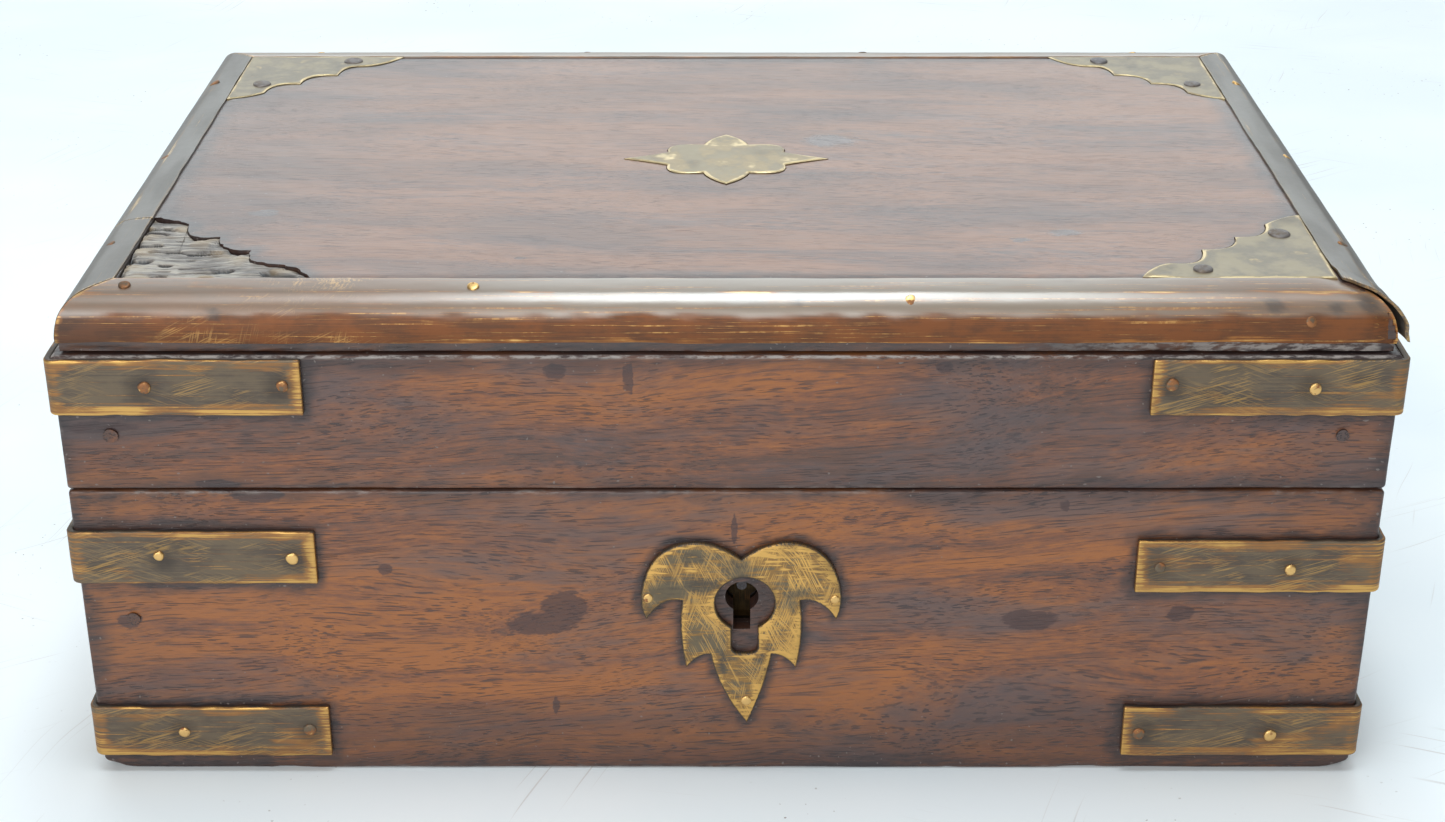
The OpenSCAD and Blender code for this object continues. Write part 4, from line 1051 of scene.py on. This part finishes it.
def make_bare_bed():
    """The rough wood under the lost front left plate: torn fibres along the grain with black gaps."""
    outline = grown(bare_outline(), -0.2)
    shares = np.sort(np.concatenate([np.linspace(0.03, 0.95, 70), [0.965, 0.98, 0.99, 1]]))
    top_z = FIELD_Z - BARE_SINK
    points, faces = disc(outline, shares, FRONT_LEFT + 0.25 * PLATE_SIZE, top_z, top_z - 1)
    upper = points[:, 2] > top_z - 0.5
    to_rim = distance_to(outline, points[:, :2])
    flow = points + np.array([0, 1.2, 0]) * rough_noise(points, (9, 9, 9), 67)[:, None]
    fibres = rough_noise(flow, (5, 0.9, 1), 68)
    pits = ramp(noise(flow, (4, 1.1, 1), 69), 0.35, 0.7)
    ragged_rim = ramp(to_rim, 1.2, 0) * ramp(noise(points, 3, 70), -0.5, 0.5)
    lumps = ramp(to_rim, 6, 1) * ramp(noise(flow, (4.5, 2.2, 1), 71), 0, 0.5)
    relief = 0.28 * fibres - 0.75 * pits - 0.5 * ragged_rim + 0.3 * lumps
    points[:, 2] += upper * relief
    piece = make_piece("bare_bed", points, faces, "bare", "lid", sharp=60)
    paint(piece, dirt=ramp(relief, -0.15, -0.6) + 0.15, torn=lumps)


# --- straps --------------------------------------------------------------------------------------

STRAP_BEND_R = 0.9
STRAP_BEND_ARC = STRAP_BEND_R * QUARTER
STRAP_HALF = STRAP_ARM - STRAP_BEND_R + STRAP_BEND_ARC / 2


def bent_round(points, sx, sy):
    """A flat strip's points, x along it and y through it, bent round the box's corner at side sx, sy."""
    along, through, z = points.T
    turn = np.clip(along / STRAP_BEND_ARC + 0.5, 0, 1) * QUARTER
    front_run = np.minimum(along + STRAP_BEND_ARC / 2, 0)
    side_run = np.maximum(along - STRAP_BEND_ARC / 2, 0)
    reach = STRAP_BEND_R + through
    x = HALF_W - STRAP_BEND_R + reach * np.sin(turn) + front_run
    y = HALF_D - STRAP_BEND_R + reach * np.cos(turn) - side_run
    return np.column_stack([sx * x, sy * y, z])


def make_strap(level, end, side, seed):
    """A strap with worn edges, bent round a corner of the box from a strip that starts out flat. Its outer
    face is rubbed along its rims and over the bend and has soot round its nails."""
    node = f"strap_{level}_{end}_{side}"
    low, high = (corner[2] for corner in box_mm(node))
    runs = ruled(-STRAP_HALF, -STRAP_BEND_ARC / 2 - 0.1, 1.3)
    lines = np.concatenate([runs, np.linspace(-STRAP_BEND_ARC / 2, STRAP_BEND_ARC / 2, 9), -runs[::-1]])
    points, quads = lattice(lines, np.linspace(0, STRAP_T, 5), ruled(low, high, 0.9))
    place = points + (seed * 200, 0, 0)
    ends = np.array([-STRAP_HALF, 0, low]), np.array([STRAP_HALF, STRAP_T, high])
    points = rounded(points, *ends, 0.3 + 0.08 * noise(place, 4, seed))
    upper = points[:, 2] > (low + high) / 2
    sway = 0.16 * rough_noise(place * (1, 0, 0), 13, seed) * np.where(upper, 1, 0.7)
    sway += 0.12 * noise(place * (1, 0, 0), 3.1, seed + 4)
    points[:, 2] += sway * ramp(np.minimum(points[:, 2] - low, high - points[:, 2]), 2.5, 0)
    outer = points[:, 1] / STRAP_T
    points[:, 1] += outer * 0.07 * rough_noise(place, (9, 9, 6), seed + 2)
    along, _, z = points.T
    to_end = STRAP_HALF - np.abs(along)
    to_rim = np.minimum(np.minimum(z - low, high - z), to_end)
    loose = rough_noise(place, (12, 12, 4), seed + 4)
    patchy = ramp(rough_noise(place, (16, 16, 8), seed + 6), -0.5, 0.5)
    rubs = [
        ramp(to_rim + 0.6 * loose, 2.6, 0.1) * (0.1 + 0.5 * patchy),
        ramp(z - low + 0.9 * loose, 3.0, 0.0) * (0.25 + 0.55 * patchy),
        ramp(to_end + 0.9 * loose, 3.4, 0.2) * 0.7,
        ramp(rough_noise(place, (16, 16, 7), seed + 8), 0.0, 0.7) * 0.34,
        ramp(np.abs(along), 3, 0.6) * 0.3,
    ]
    upward = (z > high - 0.25) & (outer < 0.75)
    rub = np.max(rubs, axis=0) * np.where((outer < 0.35) | upward, 0.15, 1)
    bent = bent_round(points, 1 if side == "right" else -1, 1 if end == "back" else -1)
    body = "lid" if level == "lid" else "case"
    nails = np.array([solid.mean(axis=0) for solid in islands(body + "_strap_nails")])
    to_nail = np.linalg.norm(bent[:, None, :] - nails[None, :, :], axis=2).min(axis=1)
    soot = [ramp(loose, 0.3, 0.9) * 0.3, upward * 0.55, ramp(to_nail + 0.4 * loose, 4.2, 2.2) * 0.5]
    piece = make_piece(node + "_sheet", bent, quads, "strap", body, [node])
    paint(piece, rub=rub, dirt=np.max(soot, axis=0), scratch=(0.4 + 0.6 * loose) * (outer > 0.5))


def make_straps():
    """The twelve straps, four at each of three levels."""
    for seed, (level, (end, side)) in enumerate(product(LEVELS, CORNERS)):
        make_strap(level, end, side, seed + 1)


# --- brass edge of the lid -----------------------------------------------------------------------

# The edge's section as a chain from its skirt to its inner lip: how far in from the rail's face, and its
# height above the skirt, with the steps along each curve. A crease lies between the round and the lip.
EDGE_CHAIN = [(0, 0), (0, 2.6), (0.7, 4.6), (1.9, 7.4), (4.6, 8.45), (6.8, 9.0), (10.0, 9.15)]
EDGE_CHAIN_STEPS = (7, 12, 11)
CREASE_ROW = sum(EDGE_CHAIN_STEPS[:2])
MITRE_GAP = 0.15
# Dull blue-grey spots on the front length: x, row across the section and size
EDGE_SPOTS = [(102.4, 12, 2.6), (114, 11, 2.2), (120, 13, 2.4), (13.3, 15, 1.8), (-96, 9, 1.6)]


def edge_profile():
    """The section's points and the inward direction of the sheet's thickness at each."""
    curve = np.concatenate([bends(EDGE_CHAIN, EDGE_CHAIN_STEPS), EDGE_CHAIN[-1:]])
    curve += (EDGE_SETBACK, EDGE_SKIRT_Z)
    along = np.gradient(curve, axis=0)
    inward = np.column_stack([along[:, 1], -along[:, 0]])
    return curve, inward / np.linalg.norm(inward, axis=1, keepdims=True)


def edge_strip(node, side, start, end, material, seed, shape=None):
    """A run of sheet brass along one side of the lid, from start to end along that side.
    Its ends are mitred where they meet a corner of the lid."""
    long_half, reach = (HALF_W, HALF_D) if side in ("front", "back") else (HALF_D, HALF_W)
    curve, inward = edge_profile()
    last = len(curve) - 1
    points, quads = lattice(ruled(start, end, 1.2, 0.5), np.arange(last + 1.0), np.array([0, 0.5, 1]))
    across = points[:, 1].round().astype(int)
    place = np.column_stack([points[:, 0] + 700 * seed, curve[across]])
    rim = (across == 0) | (across == last)
    depth = np.where(rim, 0.15 + 0.7 * points[:, 2], points[:, 2]) * SHEET_T
    ripple = 0.1 * rough_noise(place, (18, 6, 6), seed)
    sheet = curve[across] + inward[across] * (depth - ripple)[:, None]
    sheet[:, 1] += (across == 0) * 0.22 * rough_noise(place * (1, 0, 0), 11, seed + 1)
    sheet[:, 0] += (across == last) * 0.18 * rough_noise(place * (1, 0, 0), 9, seed + 2)
    limit = long_half - MITRE_GAP - sheet[:, 0]
    low_limit = np.maximum(start, -limit)
    high_limit = np.minimum(end, limit)
    run = low_limit + (points[:, 0] - start) / (end - start) * (high_limit - low_limit)
    if shape:
        run, sheet = shape(run, sheet, run - low_limit, high_limit - run, place)
    out = reach - sheet[:, 0]
    frames = {"front": (run, -out), "back": (-run, out), "left": (-out, -run), "right": (out, run)}
    solid = np.column_stack([*frames[side], sheet[:, 1]])
    piece = make_piece(node + "_sheet", solid, quads, material, "lid", [node], 50)
    to_end = np.minimum(high_limit - run, run - low_limit)
    paint_edge(piece, side, run, across, to_end, last, place, seed)


def paint_edge(piece, side, run, across, to_end, last, place, seed):
    """Rubbed gold along the crease, the skirt and the ends, soot, and a shine and paler crest colour over the
    round, partly a dusty varnished band and partly a painted highlight that is strongest in the middle of the
    front;
    across is the row of the section, from 0 at the skirt to last at the lip."""
    loose = rough_noise(place, (22, 5, 5), seed + 5)
    fine = noise(place, (4, 1, 1), seed + 6)
    often = ramp(run, 30, 95) if side == "front" else 0.3
    at_crease = ramp(np.abs(across - CREASE_ROW + 0.6 * fine), 1.4, 0.2)
    rubs = [
        at_crease * ramp(loose, 0.3 - 0.9 * often, 0.7 - 0.5 * often) * 0.85,
        ramp(across - 1.2 * fine, 1.8, 0) * ramp(loose, -0.2, 0.6) * 0.5,
        ramp(last - across, 0.9, 0) * 0.3,
        ramp(to_end + 0.4 * fine, 1.2, 0.1) * 0.5,
    ]
    dirt = ramp(loose, 0.35, 1.0) * 0.3 + ramp(across, CREASE_ROW - 1, CREASE_ROW + 1.5) * 0.1
    row = across + fine + 1.3 * loose
    shine_and_highlight = ramp(row, 2, 6) * (0.6 + 0.4 * ramp(loose, -0.6, 0.4))
    knocked = np.zeros(len(run))
    if side == "left":
        dirt += 0.12
    if side in ("front", "back"):
        shine_and_highlight = ramp(row, 7, 10.5)
    if side == "front":
        # Painted highlight: the crest's shine and paler colour are strongest in the middle of the front
        # length, where the highlight falls
        shine_and_highlight *= 0.6 + 0.4 * ramp(run + 8 * loose, -70, -20) * ramp(run + 8 * loose, 105, 60)
        knocked = ramp(np.abs(run + 86), 26, 10) * ramp(loose, -0.3, 0.5)
        dirt += ramp(run + 6 * loose, -100, -122) * ramp(across, 12, 4) * 0.5
        for x, spot_row, size in EDGE_SPOTS:
            dirt += ramp(np.hypot(run - x, (across - spot_row) * 0.5) + 0.5 * fine, size, size * 0.5) * 0.6
    paint(piece, rub=np.max(rubs, axis=0), dirt=dirt, scratch=knocked, crest=shine_and_highlight)


def lifted_end(run, sheet, to_start, to_end, place):
    """The right strip's front end, torn loose and curled outwards."""
    loose = ramp(to_start, 16, 0) ** 2
    tear = ramp(to_start, 5, 0) * 0.6 * noise(place, (3, 2, 2), 91)
    low_part = ramp(sheet[:, 1] - EDGE_SKIRT_Z, 9, 1)
    outwards = loose * (0.4 + 1.5 * low_part + 0.5 * noise(place, (3, 2, 2), 92))
    sheet = sheet + np.column_stack([-outwards, loose * 0.4])
    return run - tear * 1.5 - loose * low_part * 0.6, sheet


def worn_end(run, sheet, to_start, to_end, place):
    """The front strip's right end, beaten down and rounded by wear."""
    near = ramp(to_end, 7, 0) ** 2
    return run, sheet + np.outer(near, (0.9, -0.5))


def make_edges():
    """The brass edge's five lengths. Each side's length runs the way the sun moves seen from above."""
    edge_strip("edge_front", "front", -HALF_W, HALF_W, "edge_x", 1, worn_end)
    edge_strip("edge_back", "back", -HALF_W, HALF_W, "edge_x", 2)
    edge_strip("edge_right", "right", -HALF_D, HALF_D, "edge_y", 3, lifted_end)
    cut = -box_mm("edge_left")[0][1]
    edge_strip("edge_left", "left", -HALF_D, cut, "edge_y", 4)
    edge_strip("edge_left_patch", "left", cut + 2 * MITRE_GAP, HALF_D, "edge_y", 5)


# --- plates --------------------------------------------------------------------------------------


def make_plate(node, outline, centre, seed, lift, bright=0.0):
    """A thin plate in its bed, hammered slightly uneven, with worn edges."""
    shares = np.sort(np.concatenate([np.linspace(0.04, 0.94, 28), [0.96, 0.975, 0.985, 0.993, 1]]))
    points, faces = disc(outline, shares, centre, PLATE_HI[2], PLATE_LO[2])
    upper = points[:, 2] > (PLATE_LO[2] + PLATE_HI[2]) / 2
    to_rim = distance_to(outline, points[:, :2])
    flat = points * (1, 1, 0)
    dents = 0.06 * rough_noise(flat, 9, seed) + 0.03 * rough_noise(flat, 3, seed + 1)
    points[:, 2] += dents + lift * ramp(to_rim, 6, 0) * ramp(noise(flat, 16, seed + 2), 0, 0.7)
    points[:, 2] -= upper * 0.16 * ramp(to_rim, 0.4, 0)
    piece = make_piece(node + "_sheet", points, faces, "plate", "lid", [node])
    loose = rough_noise(flat, 7, seed + 3)
    rub = ramp(to_rim + 0.35 * loose, 0.9, 0.05) * 0.85 + bright
    paint(piece, rub=rub, dirt=ramp(loose, 0.1, 0.9) * 0.4)


def make_plates():
    """The three corner plates that are left, and the rosette in the middle."""
    for seed, (node, (sx, sy, lift)) in enumerate(CORNER_PLATES.items()):
        centre = ((FIELD_X, FIELD_Y) - 0.25 * PLATE_SIZE) * (sx, sy)
        make_plate(node, corner_outline(sx, sy), centre, 110 + seed, lift)
    make_plate("centre_plate", rosette_outline(), ROSETTE_CENTRE, 120, 0.05, 0.3)


# --- escutcheon ----------------------------------------------------------------------------------

LEAF_BEVEL = 0.35
LEAF_FACE_EDGE = 2.2
# Patches of the leaf's face that rubbing never reaches: x, z, half width and half height
LEAF_DULL = [
    (-5, 43.4, 3.7, 1.4), (2.7, 47.3, 1.9, 2.2), (15.9, 41.3, 3, 1.2), (-11.7, 42, 3.4, 1.4),
    (-1.6, 25.2, 1.4, 3.2), (7.1, 28.6, 1.5, 2.3), (13.5, 38.8, 1.3, 1.6), (-6.8, 49.7, 2.5, 1.4),
]


def leaf_mesh():
    """Points, x and z first and then the height over the leaf's middle, and faces of the bevelled leaf,
    its long edges split."""
    curve = bpy.data.curves.new("escutcheon_outline", "CURVE")
    curve.dimensions = "2D"
    curve.fill_mode = "BOTH"
    for outline in (leaf_outline(), eye_outline()):
        spline = curve.splines.new("POLY")
        spline.points.add(len(outline) - 1)
        flat = np.pad(outline * MM, ((0, 0), (0, 2)))
        flat[:, 3] = 1
        spline.points.foreach_set("co", flat.ravel())
        spline.use_cyclic_u = True
    curve.extrude = (STRAP_T / 2 - LEAF_BEVEL) * MM
    curve.bevel_depth = LEAF_BEVEL * MM
    curve.bevel_resolution = 3
    curve.offset = -LEAF_BEVEL * MM
    source = add_object("escutcheon_outline", curve)
    depsgraph = bpy.context.evaluated_depsgraph_get()
    mesh = bpy.data.meshes.new_from_object(source.evaluated_get(depsgraph))
    bpy.data.objects.remove(source)
    shell = bmesh.new()
    shell.from_mesh(mesh)
    bpy.data.meshes.remove(mesh)
    bmesh.ops.remove_doubles(shell, verts=shell.verts, dist=0.01 * MM)
    for _ in range(3):
        long_edges = [edge for edge in shell.edges if edge.calc_length() > LEAF_FACE_EDGE * MM]
        bmesh.ops.subdivide_edges(shell, edges=long_edges, cuts=1)
        bmesh.ops.triangulate(shell, faces=shell.faces)
    flat = np.array([vert.co for vert in shell.verts]) / MM
    faces = [[vert.index for vert in face.verts] for face in shell.faces]
    shell.free()
    return flat, faces


def make_escutcheon():
    """The leaf over the keyhole: a thick plate with rounded edges and a slightly uneven, scratched face."""
    flat, faces = leaf_mesh()
    x, z, height = flat.T
    points = np.column_stack([x, -HALF_D - STRAP_T / 2 - height, z])
    points[:, 1] -= (height > 0) * 0.07 * rough_noise(points, 5, 131)
    piece = make_piece("escutcheon_leaf", points, faces, "leaf", "case", ["escutcheon"])
    to_rim = np.minimum(*(distance_to(outline, flat[:, :2]) for outline in (leaf_outline(), eye_outline())))
    loose = rough_noise(points, 6, 132)
    right = ramp(x, LEAF_AXIS - 8, LEAF_AXIS + 6)
    dull = ramp(nearest_spot(x, z, LEAF_DULL) + 0.35 * loose, 1.5, 0.7)
    rub = 0.16 + 0.2 * right + 0.28 * loose + ramp(to_rim + 0.3 * loose, 1.5, 0.5) * 0.45 - 0.3 * dull
    rub = np.where(to_rim < 0.3, 0.1, rub)
    dirt = ramp(to_rim + 0.3 * loose, 0.45, 0.1) * 0.6 + ramp(loose, 0.4, 1.0) * 0.2 + 0.15 * dull
    paint(piece, rub=rub, dirt=dirt, scratch=0.6 + 0.35 * right + 0.4 * loose - 0.6 * dull)


# --- nails and pegs ------------------------------------------------------------------------------

HEAD_SIDES = 26
HEAD_ROWS = 7
HEAD_SINK = 0.35
# For each piece of nail heads: its name, CAD node, material, body and slot, then the radius, height, seed,
# how far a head may stray, the share of heads rubbed bright and how far the others are rubbed at most,
# where it isn't as usual
HEADS = [
    ("case_strap_nail_heads", "case_strap_nails", "nail", "case", "strap_brass", 1.15, 0.45, 5, 0.8, 0.4),
    ("lid_strap_nail_heads", "lid_strap_nails", "nail", "lid", "strap_brass", 1.15, 0.45, 9, 0.8, 0.2),
    ("edge_nail_heads", "edge_nails", "nail", "lid", "edge_brass", 1.15, 0.4, 7, 0.5, 0.5),
    ("leaf_pin_heads", "escutcheon_pins", "nail", "case", "leaf_brass", 0.95, 0.35, 3, 0.3, 1.0),
    ("plate_stud_heads", "corner_plate_pins", "stud", "lid", "iron", 2.0, 0.6, 4, 0.3, 0.0, 0.1),
    ("case_peg_ends", "case_corner_pegs", "peg", "case", "hardwood", 1.3, 0.12, 6, 0.2, 0.0),
    ("lid_peg_ends", "lid_corner_pegs", "peg", "lid", "hardwood", 1.3, 0.12, 8, 0.2, 0.0),
]


def islands(node):
    """The separate solids of a CAD node, each as its points in millimetres."""
    points = points_of(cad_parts[node])
    spot = np.unique(points.round(4), axis=0, return_inverse=True)[1].ravel()
    ends = spot[np.array([edge.vertices[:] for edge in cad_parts[node].data.edges])]
    owner = np.arange(len(points))
    joined = True
    while joined:
        lower = owner.copy()
        for column in (0, 1):
            np.minimum.at(lower, ends[:, column], owner[ends].min(axis=1))
        joined = not np.array_equal(lower, owner)
        owner = lower[lower]
    marks, firsts = np.unique(owner[spot], return_index=True)
    return [points[owner[spot] == mark] for mark in marks[np.argsort(firsts)]]


def head_of(solid, head_r):
    """Where a nail's head meets the air, and the direction that it faces."""
    middle = solid.mean(axis=0)
    direction = np.linalg.svd(solid - middle, full_matrices=False)[2][0]
    height = (solid - middle) @ direction
    spread = np.linalg.norm(solid - middle - np.outer(height, direction), axis=1)
    wide = height[spread > head_r * 0.9]
    if len(wide) and wide.mean() < 0:
        direction = -direction
    height = (solid - middle) @ direction
    seat = height[spread > head_r * 0.9]
    return middle + direction * (seat.min() if len(seat) else height.max()), direction


def dome(centre, direction, radius, height, seed):
    """A hammered nail head: a low dome with a slightly uneven outline, sunk a little into its bed."""
    across = np.cross(direction, [0.3, 0.2, 0.93])
    across /= np.linalg.norm(across)
    third = np.cross(direction, across)
    circle = unit(np.arange(HEAD_SIDES) * math.tau / HEAD_SIDES)
    outline = 1 + 0.09 * noise(np.insert(circle, 2, 0, axis=1) + seed, 0.9, seed)
    rim = radius * outline[:, None] * (circle @ np.array([across, third]))
    turns = np.linspace(0, QUARTER, HEAD_ROWS)[:-1]
    rings = [(1.0, -HEAD_SINK), *((math.cos(turn) ** 0.7, height * math.sin(turn) ** 0.65) for turn in turns)]
    points = []
    for share, lift in rings:
        lean = 0.1 * height * circle[:, 0] * share * (lift > 0)
        points.append(centre + rim * share + np.outer(lift + lean, direction))
    points.append([centre + direction * height])
    last = HEAD_SIDES * (len(rings) - 1)
    top = last + HEAD_SIDES
    walls = [band(base, base + HEAD_SIDES, HEAD_SIDES) for base in range(0, last, HEAD_SIDES)]
    cap = band(last, top, HEAD_SIDES)[:, :3]
    cap[:, 2] = top
    return np.concatenate(points), [*np.concatenate(walls).tolist(), *cap.tolist(), range(HEAD_SIDES)[::-1]]


def make_heads(name, node, material, body, slot, radius, height, seed, stray, bright, dull=0.45):
    """Hammered heads in the places of a node's nails, some rubbed bright, as one piece."""
    rng = np.random.default_rng(seed)
    points, faces, rub = [], [], []
    total = 0
    for number, solid in enumerate(islands(node)):
        centre, direction = head_of(solid, radius)
        slide = rng.uniform(-stray, stray, 3)
        slide -= direction * (slide @ direction)
        size = radius * rng.uniform(0.92, 1.12)
        head, quads = dome(centre + slide, direction, size, height * rng.uniform(0.8, 1.15), seed + number)
        points.append(head)
        faces += [[index + total for index in quad] for quad in quads]
        total += len(head)
        rub.append(np.full(len(head), 0.95 if rng.random() < bright else rng.uniform(dull / 3, dull)))
    piece = make_piece(name, np.concatenate(points), faces, material, body, [node], 50)
    paint(piece, rub=np.concatenate(rub))


# --- surfaces of the CAD nodes that stay ---------------------------------------------------------

# For each material: the width of the bevel on its nodes' edges, and the nodes
KEPT = {
    "inside": (0.35, ["case_bottom", "partition_left", "partition_right"]),
    "lock": (0.12, ["lock_case", "lock_cap", "lock_bolt", "link_plate"]),
    "hinge": (0.15, [f"hinge_{side}_{body}_leaf" for side in ("left", "right") for body in ("case", "lid")]),
    "iron": (0.06, [
        "bottom_nails", "lid_top_nails", "lock_ward", "key_post", "lock_screws", "bolt_spring", "link_screws",
        "hinge_left_pin", "hinge_right_pin", "hinge_case_screws", "hinge_lid_screws",
    ]),
}


def dress_kept_nodes():
    """Materials and softened edges for the CAD nodes that are shown as they are."""
    for material, (width, nodes) in KEPT.items():
        for node in nodes:
            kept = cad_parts[node]
            kept.data.materials.clear()
            kept.data.materials.append(MATERIALS[material])
            bevel = kept.modifiers.new("soft_edges", "BEVEL")
            bevel.width = width * MM
            bevel.segments = 2
            bevel.limit_method = "ANGLE"
            bevel.angle_limit = math.radians(50)
            bevel.harden_normals = True


# --- studio --------------------------------------------------------------------------------------

CAMERA_AT = (-0.8, -480.1, 270.8)
CAMERA_PITCH = 64.47
CAMERA_LENS = 57.97
TABLE_REACH = 2.5
WORLD_COLOUR = (0.93, 0.965, 1.0, 1.0)
WORLD_STRENGTH = 0.24
# Soft lights: name, place and aim in metres, width, height, power and tint
SOFTBOXES = [
    ("back_softbox", (-0.2, 1.5, 0.84), (0, 0, 0.05), 2.6, 1.0, 15.2, (0.89, 0.97, 1.0)),
    ("top_softbox", (0.02, 0.05, 1.25), (0, -0.05, 0.05), 0.28, 0.75, 7.0, (0.83, 0.94, 1.0)),
    ("wide_softbox", (0.02, -0.15, 1.25), (0, 0, 0.05), 1.1, 0.3, 2.6, (0.94, 0.98, 1.0)),
    ("front_fill", (-0.5, -1.5, 0.75), (0, 0, 0.05), 1.6, 1.0, 19, (0.99, 1.0, 1.0)),
]


def make_table():
    """The table the caddy stands on."""
    corners = [(TABLE_REACH * sx, TABLE_REACH * sy, 0) for sx, sy in ((-1, -1), (1, -1), (1, 1), (-1, 1))]
    mesh = bpy.data.meshes.new("table_top")
    mesh.from_pydata(corners, [], [(0, 1, 2, 3)])
    mesh.materials.append(pale_table())
    add_object("table_top", mesh)


def make_softbox(name, place, aim, width, height, power, tint):
    """A large soft light that faces aim."""
    light = bpy.data.lights.new(name, "AREA")
    light.shape = "RECTANGLE"
    light.size = width
    light.size_y = height
    light.energy = power
    light.color = tint
    lamp = add_object(name, light)
    lamp.location = place
    lamp.rotation_euler = (Vector(aim) - Vector(place)).to_track_quat("-Z", "Y").to_euler()


def make_world():
    """The pale room around, and how its light is shown."""
    world = bpy.data.worlds.new("pale_room")
    world.use_nodes = True
    background = world.node_tree.nodes["Background"].inputs
    background["Color"].default_value = WORLD_COLOUR
    background["Strength"].default_value = WORLD_STRENGTH
    bpy.context.scene.world = world
    bpy.context.scene.view_settings.view_transform = "Standard"


def make_camera():
    """The camera, in front of the caddy and looking down at it."""
    camera = bpy.data.cameras.new("camera")
    camera.sensor_width = 36
    camera.lens = CAMERA_LENS
    camera.clip_start = 0.01
    view = add_object("camera", camera)
    view.location = np.array(CAMERA_AT) * MM
    view.rotation_euler = (math.radians(CAMERA_PITCH), 0, 0)
    bpy.context.scene.camera = view


# --- the whole object ----------------------------------------------------------------------------

make_camera()
make_table()
for softbox in SOFTBOXES:
    make_softbox(*softbox)
make_world()
make_case()
make_rails()
make_top()
make_bare_bed()
make_straps()
make_edges()
make_plates()
make_escutcheon()
for heads in HEADS:
    make_heads(*heads)
dress_kept_nodes()
